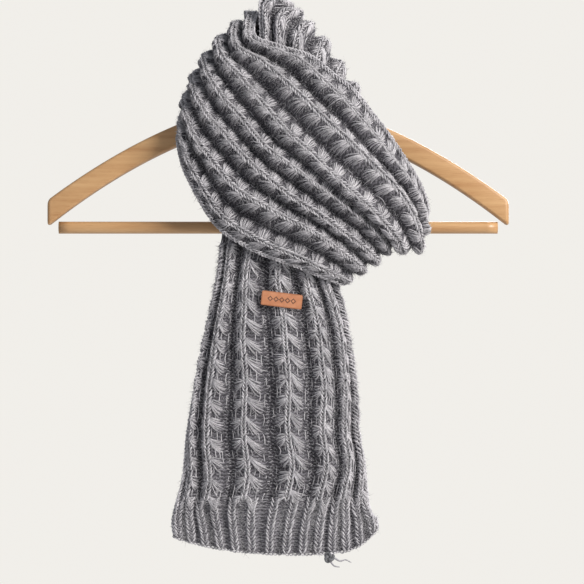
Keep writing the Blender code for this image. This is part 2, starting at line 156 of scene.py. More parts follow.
BACK_TAIL = [
    Section(91, -17, -270, 48, -137, 50, 50, 2, lobe=9, relief=0.8),
    Section(76, -14, -265, 45, -125, 45, 45, 2, relief=0.7),
    Section(47, -14, -265, 40, -98, 45, 45, 2, relief=0.6),
    Section(20, -14, -281, 34, -58, 55, 55, 2, relief=0.5),
    Section(4, -14, -315, 34, -18, 60, 60, 2, relief=0.6),
    Section(1, -14, -347, 41, -3, 70, 70, 2, relief=0.8),
    Section(-1, -14, -402, 49, 0, 70, 70, 2),
    Section(-3, -14, -464, 62, 0, 65, 65, 2),
    Section(-4, -14, -500, 70, 0, 55, 55, 2),
    Section(-3, -14, -527, 77, 0, 45, 45, 2),
]
STRIP_TABLE = np.array(FRONT_TAIL + NECK_FRONT + NECK_BACK + FRONT_WRAP + BACK_TAIL, float)
LAST = len(STRIP_TABLE) - 1
FRONT_HEM_ROWS = (1.7, 2.3)
BACK_HEM_ROWS = (LAST - 1.2, LAST - 0.7)


class Hem(NamedTuple):
    """Where the stitches of one hem lie, in rows of the table."""

    edge: float               # the bound-off edge
    chains: tuple[float, float]
    bumps: tuple[float, float]


HEMS = (
    Hem(0.0, (0.06, FRONT_HEM_ROWS[1] - 0.1), (0.1, FRONT_HEM_ROWS[1])),
    Hem(float(LAST), (BACK_HEM_ROWS[0], LAST - 0.05), (BACK_HEM_ROWS[0], LAST - 0.1)),
)

# sideways wander of each rib at some rows, in hundredths of the half width
WANDER = {
    0: (0, 0, 0, 2, 2, 0, 0),
    1: (0, -2, 0, 7, 7, 3, 0),
    2: (0, -5, 1, 12, 12, 5, 0),
    3: (0, -5, 3, 13, 12, 5, 0),
    4: (0, -5, 3, 13, 12, 4, 0),
    5: (0, -6, 1, 9, 8, 0, 0),
    6: (0, -6, -4, 8, 8, 1, 0),
    7: (0, -6, -7, 7, 10, 4, 0),
    8: (0, -6, -7, 7, 11, 5, 0),
    9: (0, -6, -3, 10, 12, 5, 0),
    10: (0, -3, -1, 7, 6, 3, 0),
    12: (3, 7, 3, 8, 5, 4, 2),
    13: (2, 4, 5, 9, 8, 6, 3),
    14: (-3, -12, -16, -18, -8, 0, 3),
    15: (0, -4, -7, -8, -4, 0, 0),
    20: (2, -2, -6, -6, -6, -5, -3),
    21: (0, -4, 0, 4, 3, 3, -1),
    22: (0, 2, 9, 8, 4, 4, 1),
    23: (2, 2, 9, 5, -3, -3, 0),
    24: (4, 4, 12, 2, -2, -9, -2),
    25: (6, 3, 17, 2, 0, -10, -1),
    26: (7, 2, 13, -3, -4, -10, -3),
    27: (18, 16, 8, -3, -8, -10, -4),
    28: (10, 10, 5, 0, -4, -5, -2),
}
WANDER_TABLE = np.array([WANDER.get(row, (0,) * RIBS) for row in range(LAST + 1)]) / 100


# --- small tools ---------------------------------------------------------------
def smooth_step(value: np.ndarray) -> np.ndarray:
    """Ease from 0 to 1: three squares less two cubes of the clipped value."""
    value = np.clip(value, 0.0, 1.0)
    return value * value * (3 - 2 * value)


def hump(t: np.ndarray) -> np.ndarray:
    """A half sine: 0 at both ends and 1 half way."""
    return np.sin(np.pi * t)


def swing(t: np.ndarray) -> np.ndarray:
    """A quarter sine: quick at the start, and level at the end."""
    return np.sin(0.5 * np.pi * t)


def unit(vectors: np.ndarray) -> np.ndarray:
    """Scale vectors to length 1."""
    return vectors / np.maximum(np.linalg.norm(vectors, axis=-1, keepdims=True), 1e-12)


def run_length(points: np.ndarray) -> np.ndarray:
    """Length along a line of points, up to each of them."""
    return np.concatenate([[0], np.cumsum(np.linalg.norm(np.diff(points, axis=0), axis=1))])


def catmull_rom(table: np.ndarray, rows: np.ndarray) -> np.ndarray:
    """Read a table at fractional rows, on a smooth curve through them.

    Args:
        table: one line of numbers for each whole row.
        rows: the places to read, a flat array.

    Returns:
        One line for each place: the Catmull-Rom blend of the four lines around it.
    """
    padded = np.vstack([2 * table[0] - table[1], table, 2 * table[-1] - table[-2]])
    rows = np.clip(np.asarray(rows, float), 0, len(table) - 1)
    cell = np.minimum(rows.astype(int), len(table) - 2)
    t = (rows - cell)[:, None]
    before, start, end, after = (padded[cell + k] for k in range(4))
    return 0.5 * (
        2 * start
        + (end - before) * t
        + (2 * before - 5 * start + 4 * end - after) * t**2
        + (3 * start - before - 3 * end + after) * t**3
    )


def rib_wander(u: np.ndarray, rows: np.ndarray) -> np.ndarray:
    """Sideways wander of each place, linear between the ribs' crests.

    The table is mirrored with the opposite sign past each edge, so both edges stay put.

    Args:
        u: shares of the width, a flat array.
        rows: rows of the table, as many as u.

    Returns:
        The wander, in half widths.
    """
    table = catmull_rom(WANDER_TABLE, rows)
    padded = np.hstack([-table[:, :1], table, -table[:, -1:]])
    place = u * RIBS + 0.5
    cell = np.minimum(place.astype(int), RIBS)
    share = place - cell
    line = np.arange(len(u))
    return padded[line, cell] * (1 - share) + padded[line, cell + 1] * share


def hem_edge(u: np.ndarray) -> np.ndarray:
    """How far the front hem's lower edge hangs: a parabola, less a parabola at one corner.

    Args:
        u: shares of the width, a flat array.

    Returns:
        Metres down from a straight edge.
    """
    side = 2 * u - 1
    corner = np.maximum(side - HEM_CORNER, 0.0)
    dip = HEM_DIP - HEM_DIP_RISE * (side - HEM_DIP_CENTRE) ** 2
    return dip - HEM_CORNER_RISE * corner**2


# --- the strip as a surface ----------------------------------------------------
@dataclass
class Strip:
    """The scarf's middle surface and its relief, as functions of (u, row)."""

    table: np.ndarray
    slope_step: float = 0.004     # for the normals, in shares of the width and in rows
    line_step: float = 0.001      # for the direction in which the sections follow each other
    lobe_ribs: int = 3            # the upper ribs that the lobe column pushes on
    tuck_start: float = 0.5       # share of the width at which the tuck column sets in
    tuck_ease: float = 0.1

    def columns(self, rows: np.ndarray) -> dict[str, np.ndarray]:
        """The table's columns at fractional rows, by name."""
        return dict(zip(Section._fields, catmull_rom(self.table, rows).T))

    def surface(self, u: np.ndarray, rows: np.ndarray) -> np.ndarray:
        """Points of the middle surface without its ribs.

        Each section is an arc: the sine of an angle that runs from one edge's roll to
        the other's gives the sideways share, its cosine gives the crown, and the bow,
        lobe and tuck columns push ribs along or out.

        Args:
            u: shares of the width, a flat array.
            rows: rows of the table, as many as u.

        Returns:
            One point for each place.
        """
        at = self.columns(rows)
        ahead = catmull_rom(self.table, rows + self.line_step)
        behind = catmull_rom(self.table, rows - self.line_step)
        along = unit(ahead[:, :3] - behind[:, :3])
        lean = np.radians(at["lean"])
        flat = np.zeros_like(lean)
        across = np.stack([np.cos(lean), flat, np.sin(lean)], axis=1)
        forward = np.stack([-np.sin(lean), flat, np.cos(lean)], axis=1)
        out = unit(np.cross(across, along))

        left, right = at["roll_left"], at["roll_right"]
        angle = (left + right) * u - left
        widest = np.maximum(left, right)
        share = np.sin(np.radians(angle)) / np.sin(np.radians(np.minimum(widest, 90.0)))
        crown_angle = np.radians(angle * np.maximum(1.0, CROWN_ANGLE / widest))
        upper = np.clip(u * RIBS / self.lobe_ribs, 0, 1)

        sideways = at["half"] * (share + rib_wander(u, rows))
        tucked = at["tuck"] * smooth_step((self.tuck_start - u) / self.tuck_ease)
        outward = tucked - at["crown"] * (1 - np.cos(crown_angle))
        ahead_by = at["bow"] * (1 - share**2) + at["lobe"] * hump(upper)
        points = MM * (
            np.stack([at["x"], at["y"], at["z"]], axis=1)
            + across * sideways[:, None]
            + out * outward[:, None]
            + forward * ahead_by[:, None]
        )
        points[:, 2] -= smooth_step(1 - rows / HEM_EDGE_REACH) * hem_edge(u)
        return points

    def normals(self, u: np.ndarray, rows: np.ndarray) -> np.ndarray:
        """Outward normals: the cross product of the surface's slopes both ways.

        Args:
            u: shares of the width, a flat array.
            rows: rows of the table, as many as u.

        Returns:
            One unit vector for each place.
        """
        step = self.slope_step
        u_low, u_high = np.maximum(u - step, 0), np.minimum(u + step, 1)
        row_low, row_high = np.maximum(rows - step, 0), np.minimum(rows + step, LAST)
        across = self.surface(u_high, rows) - self.surface(u_low, rows)
        along = self.surface(u, row_high) - self.surface(u, row_low)
        return unit(np.cross(across, along))

    def hem_share(self, rows: np.ndarray) -> np.ndarray:
        """How far the fabric is hem ribbing, eased between the rows where each hem starts and ends.

        Args:
            rows: rows of the table.

        Returns:
            1 at either end of the strip, else 0.
        """
        start, end = FRONT_HEM_ROWS
        front = smooth_step((end - rows) / (end - start))
        start, end = BACK_HEM_ROWS
        return np.maximum(front, smooth_step((rows - start) / (end - start)))

    def relief(self, u: np.ndarray, rows: np.ndarray) -> np.ndarray:
        """Rib height: twice a rounded sine less one, which flattens at the edges.

        Args:
            u: shares of the width, a flat array.
            rows: rows of the table, as many as u.

        Returns:
            Metres out from the middle surface.
        """
        body = 2 * np.abs(hump(RIBS * u - RIB_SHIFT)) ** RIB_ROUNDNESS - 1
        hem = 2 * np.abs(np.sin(np.pi * RIBS * HEM_RIBS_PER_RIB * u)) - 1
        edge = smooth_step(np.minimum(u, 1 - u) / EDGE_FADE)
        hem_share = self.hem_share(rows)
        size = RIB_RELIEF * self.columns(rows)["relief"]
        return size * (1 - hem_share) * body * edge + HEM_RELIEF * hem_share * hem


@dataclass
class RibLine:
    """The line along one rib, measured so that stitches can be spaced in real lengths."""

    strip: Strip
    u: float                  # share of the width at the rib's crest
    ribs: int = RIBS          # ribs across the strip
    samples: int = 1600
    reach: float = 0.4        # ribs to either side between which the width is measured
    rows: np.ndarray = field(init=False)
    length: np.ndarray = field(init=False)
    pitch: np.ndarray = field(init=False)

    def __post_init__(self) -> None:
        """Measure the length along the rib and the rib's width at each row."""
        self.rows = np.linspace(0, LAST, self.samples)
        at = np.full(self.samples, self.u)
        self.length = run_length(self.strip.surface(at, self.rows))
        reach = self.reach / self.ribs
        left = self.strip.surface(np.maximum(at - reach, 0), self.rows)
        right = self.strip.surface(np.minimum(at + reach, 1), self.rows)
        self.pitch = np.linalg.norm(right - left, axis=1) / (2 * self.reach)

    def at_row(self, rows: float | np.ndarray) -> float | np.ndarray:
        """Length along the rib at a row."""
        return np.interp(rows, self.rows, self.length)

    def place(self, share: np.ndarray, along: np.ndarray) -> tuple[np.ndarray, np.ndarray]:
        """Strip coordinates of a place given by its share of the rib and its length along."""
        row = np.interp(along, self.length, self.rows)
        return np.clip(self.u + share / self.ribs, 0.0, 1.0), row

    def width(self, along: np.ndarray) -> np.ndarray:
        """The rib's width at lengths along it."""
        return np.interp(along, self.length, self.pitch)


# --- meshes from arrays --------------------------------------------------------
def mesh_from(name: str, points: np.ndarray, polygons: list[np.ndarray]) -> bpy.types.Mesh:
    """A mesh from points and arrays of faces.

    Args:
        name: the mesh's name.
        points: one line of three numbers for each vertex.
        polygons: arrays of vertex numbers, one line a face and one array for each face size.

    Returns:
        The mesh, shaded smooth.
    """
    mesh = bpy.data.meshes.new(name)
    sizes = np.concatenate([np.full(len(faces), faces.shape[1]) for faces in polygons])
    corners = np.concatenate([faces.reshape(-1) for faces in polygons]).astype(np.int32)
    starts = np.concatenate([[0], np.cumsum(sizes)[:-1]]).astype(np.int32)
    mesh.vertices.add(len(points))
    mesh.vertices.foreach_set("co", points.astype(np.float32).reshape(-1))
    mesh.loops.add(len(corners))
    mesh.loops.foreach_set("vertex_index", corners)
    mesh.polygons.add(len(sizes))
    mesh.polygons.foreach_set("loop_start", starts)
    mesh.update(calc_edges=True)
    mesh.validate()
    mesh.shade_smooth()
    return mesh


def set_values(mesh: bpy.types.Mesh, name: str, values: np.ndarray) -> None:
    """Store one number for each vertex under a name that a material reads."""
    attribute = mesh.attributes.new(name, "FLOAT", "POINT")
    attribute.data.foreach_set("value", values.astype(np.float32).reshape(-1))


def numbered(points: np.ndarray) -> np.ndarray:
    """The vertex number of each point, in the order in which the points lie."""
    return np.arange(points[..., 0].size).reshape(points.shape[:-1])


def quads(*corners: np.ndarray) -> np.ndarray:
    """Four arrays of vertex numbers as faces."""
    return np.stack(corners, axis=-1).reshape(-1, 4)


def grid_quads(grid: np.ndarray) -> np.ndarray:
    """Faces of a grid of vertex numbers."""
    return quads(grid[:-1, :-1], grid[:-1, 1:], grid[1:, 1:], grid[1:, :-1])


def ring_quads(rings: np.ndarray) -> np.ndarray:
    """Faces between rings of vertex numbers: the last axis is a ring, which closes on itself."""
    after = np.roll(rings, -1, axis=-1)
    return quads(rings[..., :-1, :], rings[..., 1:, :], after[..., 1:, :], after[..., :-1, :])


def ring_mesh(name: str, rings: np.ndarray) -> bpy.types.Mesh:
    """A closed skin through rings of points, with a flat face over either end.

    Args:
        name: the mesh's name.
        rings: rings by points by three, which run clockwise seen from beyond the last ring.

    Returns:
        The mesh.
    """
    index = numbered(rings)
    return mesh_from(name, rings.reshape(-1, 3), [ring_quads(index), index[:1], index[-1:, ::-1]])


def rounded_rectangles(half_width: np.ndarray, half_height: np.ndarray, corner: Numbers,
                       steps: int) -> tuple[np.ndarray, np.ndarray]:
    """Rectangles with quarter circles for corners: each corner's centre plus its turned radius.

    Args:
        half_width: half of each rectangle's width, as a column.
        half_height: half of its height, as a column.
        corner: the radius of its corners.
        steps: points in a corner.

    Returns:
        Sideways and upward places, one line a rectangle.
    """
    quarter = np.linspace(0, np.pi / 2, steps)
    turns = np.concatenate([quarter + k * np.pi / 2 for k in range(4)])
    signs = np.repeat([[1, 1], [-1, 1], [-1, -1], [1, -1]], steps, axis=0)
    sideways = signs[:, 0] * (half_width - corner) + corner * np.cos(turns)
    return sideways, signs[:, 1] * (half_height - corner) + corner * np.sin(turns)


def wall_mesh(name: str, front: np.ndarray, back: np.ndarray) -> bpy.types.Mesh:
    """A closed wall between two grids of points that face each other.

    Args:
        name: the mesh's name.
        front: the outer face's points, rows by columns by three.
        back: the inner face's points, of the same shape.

    Returns:
        The wall: both faces, and a strip of faces along each of the four edges.
    """
    grid = numbered(front)
    other = grid + grid.size
    faces = [
        grid_quads(grid),
        grid_quads(other)[:, ::-1],
        quads(grid[0, 1:], grid[0, :-1], other[0, :-1], other[0, 1:]),
        quads(grid[-1, :-1], grid[-1, 1:], other[-1, 1:], other[-1, :-1]),
        quads(grid[:-1, 0], grid[1:, 0], other[1:, 0], other[:-1, 0]),
        quads(grid[1:, -1], grid[:-1, -1], other[:-1, -1], other[1:, -1]),
    ]
    points = np.concatenate([front.reshape(-1, 3), back.reshape(-1, 3)])
    return mesh_from(name, points, [np.concatenate(faces)])


@dataclass
class Strands:
    """Many yarn strands: centre lines, surface normals, radii and tones."""

    centres: np.ndarray       # strands by points by three
    normals: np.ndarray
    radii: np.ndarray         # strands by points
    tones: np.ndarray         # one number a strand, 0 dark to 1 light

    def arrays(self, sides: int) -> tuple[np.ndarray, np.ndarray, np.ndarray, np.ndarray]:
        """Round tubes along the centre lines.

        Each ring lies square to the line: side = line x normal, up = side x line, and
        a vertex is the centre plus the radius times their turn round the circle.

        Args:
            sides: vertices in a ring.

        Returns:
            Points, side faces, end faces and one tone a vertex.
        """
        line = unit(np.gradient(self.centres, axis=1))
        side = unit(np.cross(line, self.normals))
        up = np.cross(side, line)
        turn = 2 * np.pi * np.arange(sides)[:, None] / sides
        ring = np.cos(turn) * side[:, :, None] + np.sin(turn) * up[:, :, None]
        points = self.centres[:, :, None] + ring * self.radii[..., None, None]
        rings = numbered(points)
        ends = np.concatenate([rings[:, 0], rings[:, -1, ::-1]])
        tones = np.repeat(self.tones, rings[0].size)
        return points.reshape(-1, 3), ring_quads(rings), ends, tones


def strand_mesh(name: str, groups: list[Strands], sides: int) -> bpy.types.Mesh:
    """One mesh of all the strands in several groups, with their tones as an attribute.

    Args:
        name: the mesh's name.
        groups: the strands.
        sides: vertices in each strand's rings.

    Returns:
        The mesh.
    """
    parts, total = [], 0
    for group in groups:
        points, walls, ends, tones = group.arrays(sides)
        parts.append((points, walls + total, ends + total, tones))
        total += len(points)
    points, walls, ends, tones = (np.concatenate(part) for part in zip(*parts))
    mesh = mesh_from(name, points, [walls, ends])
    set_values(mesh, "tone", tones)
    return mesh


def sweep_mesh(name: str, path: np.ndarray, radius: float, sides: int) -> bpy.types.Mesh:
    """A round rod: a circle carried along a path that lies in the XZ plane.

    Args:
        name: the mesh's name.
        path: the centre line's points.
        radius: the circle's radius.
        sides: vertices in the circle.

    Returns:
        The mesh.
    """
    normals = np.broadcast_to(np.array([0.0, 1.0, 0.0]), path.shape)
    wire = Strands(path[None], normals[None], np.full((1, len(path)), radius), np.ones(1))
    return strand_mesh(name, [wire], sides)


def add_object(name: str, data: bpy.types.ID) -> bpy.types.Object:
    """Put an object with its data in the scene."""
    item = bpy.data.objects.new(name, data)
    bpy.context.scene.collection.objects.link(item)
    return item


def add_piece(mesh: bpy.types.Mesh, finish: bpy.types.Material,
              node: str = "") -> bpy.types.Object:
    """Put a mesh in the scene as a piece that rides on the one body.

    Args:
        mesh: the piece's mesh, whose name it takes.
        finish: its material.
        node: the solid that the piece takes the place of, where it does.

    Returns:
        The piece.
    """
    piece = add_object(mesh.name, mesh)
    mesh.materials.append(finish)
    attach(piece, ROOT)
    if node:
        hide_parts(node)
    mesh.calc_loop_triangles()
    LOG.info("%s: %d triangles", mesh.name, len(mesh.loop_triangles))
    return piece


# --- shader node groups --------------------------------------------------------
class NodeKit:
    """A short way to add and link nodes in one tree."""

    def __init__(self, tree: bpy.types.NodeTree) -> None:
        """Keep the tree that nodes go into."""
        self.tree = tree

    def feed(self, node: bpy.types.Node, inputs: dict[str | int, Feed]) -> None:
        """Link sockets to a node's inputs, or set the inputs' own values.

        Args:
            node: the node.
            inputs: what goes into each input, by the input's name or number.
        """
        for key, value in inputs.items():
            if isinstance(value, Socket):
                self.tree.links.new(value, node.inputs[key])
            else:
                node.inputs[key].default_value = value

    def add(self, kind: str, inputs: dict[str | int, Feed] | None = None,
            **values: str | bpy.types.NodeTree) -> bpy.types.Node:
        """Add a node, set its properties and feed its inputs.

        Args:
            kind: the node's type.
            inputs: what goes into its inputs.
            values: its properties.

        Returns:
            The node.
        """
        node = self.tree.nodes.new(kind)
        for key, value in values.items():
            setattr(node, key, value)
        self.feed(node, inputs or {})
        return node

    def place(self) -> Socket:
        """Object coordinates."""
        return self.add("ShaderNodeTexCoord").outputs["Object"]

    def attribute(self, name: str) -> Socket:
        """The number that the mesh stores under a name."""
        return self.add("ShaderNodeAttribute", attribute_name=name).outputs["Fac"]

    def math(self, operation: str, first: Feed, second: Feed = 0.0) -> Socket:
        """A Math node's result."""
        return self.add("ShaderNodeMath", {0: first, 1: second}, operation=operation).outputs[0]

    def mix(self, factor: Feed, first: Feed, second: Feed, blend: str = "MIX") -> Socket:
        """A colour Mix node's result."""
        inputs = {0: factor, 6: first, 7: second}
        return self.add("ShaderNodeMix", inputs, data_type="RGBA", blend_type=blend).outputs[2]

    def ramp(self, factor: Feed, low: float, high: float, to: tuple[float, float] = (0.0, 1.0)) -> Socket:
        """A Map Range from low..high to 0..1 or another range, clamped."""
        inputs = {0: factor, 1: low, 2: high, 3: to[0], 4: to[1]}
        return self.add("ShaderNodeMapRange", inputs).outputs[0]

    def noise(self, place: Socket, scale: float, detail: float, rough: float) -> Socket:
        """A Noise texture's value at a place."""
        inputs = {"Vector": place, "Scale": scale, "Detail": detail, "Roughness": rough}
        return self.add("ShaderNodeTexNoise", inputs).outputs[0]


class Groups(enum.Enum):
    """The node groups that more than one material uses."""

    YARN = "yarn_fibre"
    GRAIN = "wood_grain"


def new_group(group: Groups, inputs: dict[str, str]) -> tuple[NodeKit, list[Socket], bpy.types.Node]:
    """An empty node group that puts out a colour and a height.

    Args:
        group: which one.
        inputs: each input's name, and the kind of its socket.

    Returns:
        The tools for its tree, the sockets of its inputs, and its output node.
    """
    tree = bpy.data.node_groups.new(group.value, "ShaderNodeTree")
    for way, sockets in (("INPUT", inputs), ("OUTPUT", {"Color": "Color", "Height": "Float"})):
        for name, kind in sockets.items():
            tree.interface.new_socket(name=name, in_out=way, socket_type=f"NodeSocket{kind}")
    kit = NodeKit(tree)
    return kit, kit.add("NodeGroupInput").outputs[: len(inputs)], kit.add("NodeGroupOutput")


def yarn_group() -> None:
    """Brushed yarn: mottled colour from two noises, and fine fibres as a height."""
    inputs = {"Place": "Vector", "Tone": "Float", "Dark": "Color", "Light": "Color"}
    kit, (place, tone, dark, light), sink = new_group(Groups.YARN, inputs)
    patches = kit.noise(place, 60.0, 2.0, 0.6)
    fibres = kit.noise(place, 900.0, 3.0, 0.7)
    wander = kit.math("MULTIPLY", kit.ramp(patches, 0.3, 0.7), 0.22)
    speck = kit.math("MULTIPLY", kit.ramp(fibres, 0.3, 0.7), 0.35)
    base = kit.math("ADD", kit.math("MULTIPLY", tone, 0.6), kit.math("ADD", wander, speck))
    kit.feed(sink, {"Color": kit.mix(kit.ramp(base, 0.1, 1.1), dark, light), "Height": fibres})


def grain_group() -> None:
    """Beech grain along X: stretched noise for the figure, and short dark flecks."""
    inputs = {"Place": "Vector", "Dark": "Color", "Light": "Color"}
    kit, (place, dark, light), sink = new_group(Groups.GRAIN, inputs)
    stretch = kit.add("ShaderNodeMapping", {"Vector": place, "Scale": (0.06, 1.0, 1.0)}).outputs[0]
    figure = kit.noise(stretch, 160.0, 4.0, 0.6)
    flecks = kit.noise(stretch, 1300.0, 2.0, 0.6)
    fleck = kit.math("MULTIPLY", kit.ramp(flecks, 0.58, 0.7), 0.35)
    share = kit.math("SUBTRACT", kit.ramp(figure, 0.25, 0.75), fleck)
    kit.feed(sink, {"Color": kit.mix(kit.ramp(share, -0.2, 1.0), dark, light), "Height": flecks})


# --- finishes ------------------------------------------------------------------
def new_material(name: str) -> tuple[bpy.types.Material, NodeKit, bpy.types.Node]:
    """An empty node material with its Principled BSDF."""
    material = bpy.data.materials.new(name)
    material.use_nodes = True
    return material, NodeKit(material.node_tree), material.node_tree.nodes["Principled BSDF"]


def place_group(kit: NodeKit, shader: bpy.types.Node, group: Groups, dark: Triple,
                light: Triple) -> bpy.types.Node:
    """Colour a shader by a node group that runs on Object coordinates.

    Args:
        kit: the tools for the material's tree.
        shader: its Principled BSDF.
        group: which group.
        dark: one end of the group's colours.
        light: the other end.

    Returns:
        The group's node.
    """
    node = kit.add("ShaderNodeGroup", node_tree=bpy.data.node_groups[group.value])
    kit.feed(node, {"Place": kit.place(), "Dark": (*dark, 1.0), "Light": (*light, 1.0)})
    kit.feed(shader, {"Base Color": node.outputs["Color"]})
    return node


def add_bump(kit: NodeKit, shader: bpy.types.Node, height: Socket, strength: float, depth: float) -> None:
    """Join a height to the shader's normal through a Bump node."""
    bump = kit.add("ShaderNodeBump", {"Strength": strength, "Distance": depth, "Height": height})
    kit.feed(shader, {"Normal": bump.outputs[0]})


@dataclass(frozen=True)
class YarnFinish:
    """Brushed yarn: the two ends of its colour range, and its soft sheen."""

    name: str
    dark: Triple
    light: Triple
    sheen: float
    bump: float

    def make(self) -> bpy.types.Material:
        """Yarn whose tone comes from each strand's own attribute."""
        material, kit, shader = new_material(self.name)
        group = place_group(kit, shader, Groups.YARN, self.dark, self.light)
        kit.feed(group, {"Tone": kit.attribute("tone")})
        kit.feed(shader, {"Roughness": 0.95, "Specular IOR Level": 0.2})
        kit.feed(shader, {"Sheen Weight": self.sheen, "Sheen Roughness": 0.6})
        add_bump(kit, shader, group.outputs["Height"], self.bump, 0.4 * MM)
        return material


@dataclass(frozen=True)
class ClothFinish(YarnFinish):
    """The ground cloth: brushed yarn in rows of purl bumps."""

    groove: float = 0.45      # share of the colour that is left between the rows: painted shade in the grooves
    arch: float = 1.1         # how far a row bends round each bump, in radians of the row

    def make(self) -> bpy.types.Material:
        """Yarn darkened by painted shade between arched rows: sine of the row less a cosine across the
        bumps.
        """
        material = super().make()
        kit = NodeKit(material.node_tree)
        shader = material.node_tree.nodes["Principled BSDF"]
        arch = kit.math("COSINE", kit.math("MULTIPLY", kit.attribute("across"), 2 * math.pi))
        row = kit.math("MULTIPLY", kit.attribute("along"), 2 * math.pi)
        row = kit.math("ADD", row, kit.math("MULTIPLY", arch, self.arch))
        ridge = kit.ramp(kit.math("SINE", row), -0.9, 0.7)
        colour = shader.inputs["Base Color"].links[0].from_socket
        shade = kit.math("ADD", kit.math("MULTIPLY", ridge, 1 - self.groove), self.groove)
        kit.feed(shader, {"Base Color": kit.mix(1.0, colour, shade, "MULTIPLY")})
        bump = shader.inputs["Normal"].links[0].from_node
        fibres = bump.inputs["Height"].links[0].from_socket
        height = kit.math("ADD", kit.math("MULTIPLY", fibres, 0.5), ridge)
        kit.feed(bump, {"Height": height, "Distance": 0.8 * MM})
        return material


@dataclass(frozen=True)
class WoodFinish:
    """Clear-varnished beech."""

    name: str = "beech"
    dark: Triple = (0.42, 0.20, 0.075)
    light: Triple = (0.66, 0.40, 0.19)

    def make(self) -> bpy.types.Material:
        """Grain along X under a thin coat."""
        material, kit, shader = new_material(self.name)
        group = place_group(kit, shader, Groups.GRAIN, self.dark, self.light)
        kit.feed(shader, {"Roughness": 0.42, "Coat Weight": 0.25, "Coat Roughness": 0.25})
        add_bump(kit, shader, group.outputs["Height"], 0.15, 0.3 * MM)
        return material


@dataclass(frozen=True)
class LeatherFinish:
    """Smooth tan leather with a darker rim and a pressed row of diamonds."""

    name: str = "tan_leather"
    face: Triple = (0.50, 0.19, 0.088)
    worn: Triple = (0.62, 0.27, 0.14)
    rim: Triple = (0.26, 0.09, 0.035)
    pressed: Triple = (0.07, 0.03, 0.02)
    pitch: float = 5.2 * MM
    size: float = 2.7 * MM    # half a diamond, from its middle to a corner
    line: float = 0.7 * MM    # half of the pressed line's width, along an axis
    soft: float = 0.2 * MM    # over which the line's edge fades
    reach: float = 13.0 * MM  # half of the row's length

    def diamonds(self, kit: NodeKit, place: Socket) -> Socket:
        """Outlines of diamonds in a row: where sideways distance in a cell plus height is near a size.

        Args:
            kit: the tools for the material's tree.
            place: Object coordinates.

        Returns:
            A mask, 1 on the outlines.
        """
        turn = {"Vector": place, "Location": LABEL_CENTRE, "Rotation": (0.0, LABEL_TURN, 0.0)}
        turned = kit.add("ShaderNodeMapping", turn, vector_type="TEXTURE").outputs[0]
        parts = kit.add("ShaderNodeSeparateXYZ", {0: turned}).outputs
        across = kit.math("ABSOLUTE", parts["X"])
        cell = kit.math("PINGPONG", across, self.pitch / 2)
        spread = kit.math("ADD", cell, kit.math("ABSOLUTE", parts["Z"]))
        off = kit.math("ABSOLUTE", kit.math("SUBTRACT", self.size - self.line, spread))
        inside = kit.ramp(kit.math("SUBTRACT", self.line, off), 0.0, self.soft)
        return kit.math("MULTIPLY", inside, kit.math("LESS_THAN", across, self.reach))

    def make(self) -> bpy.types.Material:
        """Fine pebbled grain, mottled tan, darkened at the rim and in the diamonds."""
        material, kit, shader = new_material(self.name)
        place = kit.place()
        mottle = kit.ramp(kit.noise(place, 140.0, 3.0, 0.6), 0.3, 0.7)
        pebbles = kit.add("ShaderNodeTexVoronoi", {"Vector": place, "Scale": 1500.0}).outputs["Distance"]
        tan = kit.mix(mottle, (*self.face, 1.0), (*self.worn, 1.0))
        edged = kit.mix(kit.attribute("rim"), tan, (*self.rim, 1.0))
        mask = self.diamonds(kit, place)
        marked = kit.mix(kit.math("MULTIPLY", mask, 0.85), edged, (*self.pressed, 1.0))
        kit.feed(shader, {"Base Color": marked, "Roughness": 0.55})
        grain = kit.math("SUBTRACT", kit.math("MULTIPLY", pebbles, 0.2), mask)
        add_bump(kit, shader, grain, 0.5, 0.2 * MM)
        return material


@dataclass(frozen=True)
class SteelFinish:
    """Bright drawn wire."""

    name: str = "bright_wire"
    colour: Triple = (0.66, 0.66, 0.67)
    roughness: tuple[float, float] = (0.18, 0.34)

    def make(self) -> bpy.types.Material:
        """Metal with faint streaks in its roughness."""
        material, kit, shader = new_material(self.name)
        streaks = kit.noise(kit.place(), 700.0, 2.0, 0.5)
        kit.feed(shader, {"Base Color": (*self.colour, 1.0), "Metallic": 1.0})
        kit.feed(shader, {"Roughness": kit.ramp(streaks, 0.0, 1.0, self.roughness)})
        return material


# The dark ends of the ground, strand and fibre colours are the colour of the painted shade in valleys and
# gaps, tinted cool like shadows.
GROUND = ClothFinish("knit_ground", (0.0205, 0.018, 0.025), (0.39, 0.368, 0.402), 0.05, 0.9)
STRAND = YarnFinish("knit_strand", (0.062, 0.056, 0.072), (0.86, 0.825, 0.852), 0.25, 0.6)
FIBRE = YarnFinish("loose_fibre", (0.092, 0.085, 0.102), (0.80, 0.77, 0.792), 0.25, 0.0)
KNOT = YarnFinish("knot_strand", (0.06, 0.062, 0.075), (0.34, 0.335, 0.34), 0.15, 0.8)


class Finish(enum.Enum):
    """Every finish of the model."""

    GROUND = GROUND
    STRAND = STRAND
    FIBRE = FIBRE
    KNOT = KNOT
    BEECH = WoodFinish()
    LEATHER = LeatherFinish()
    STEEL = SteelFinish()


@dataclass
class Palette:
    """The materials, each made once."""

    made: dict[Finish, bpy.types.Material] = field(default_factory=dict)

    def get(self, finish: Finish) -> bpy.types.Material:
        """The material of a finish."""
        if finish not in self.made:
            self.made[finish] = finish.value.make()
        return self.made[finish]


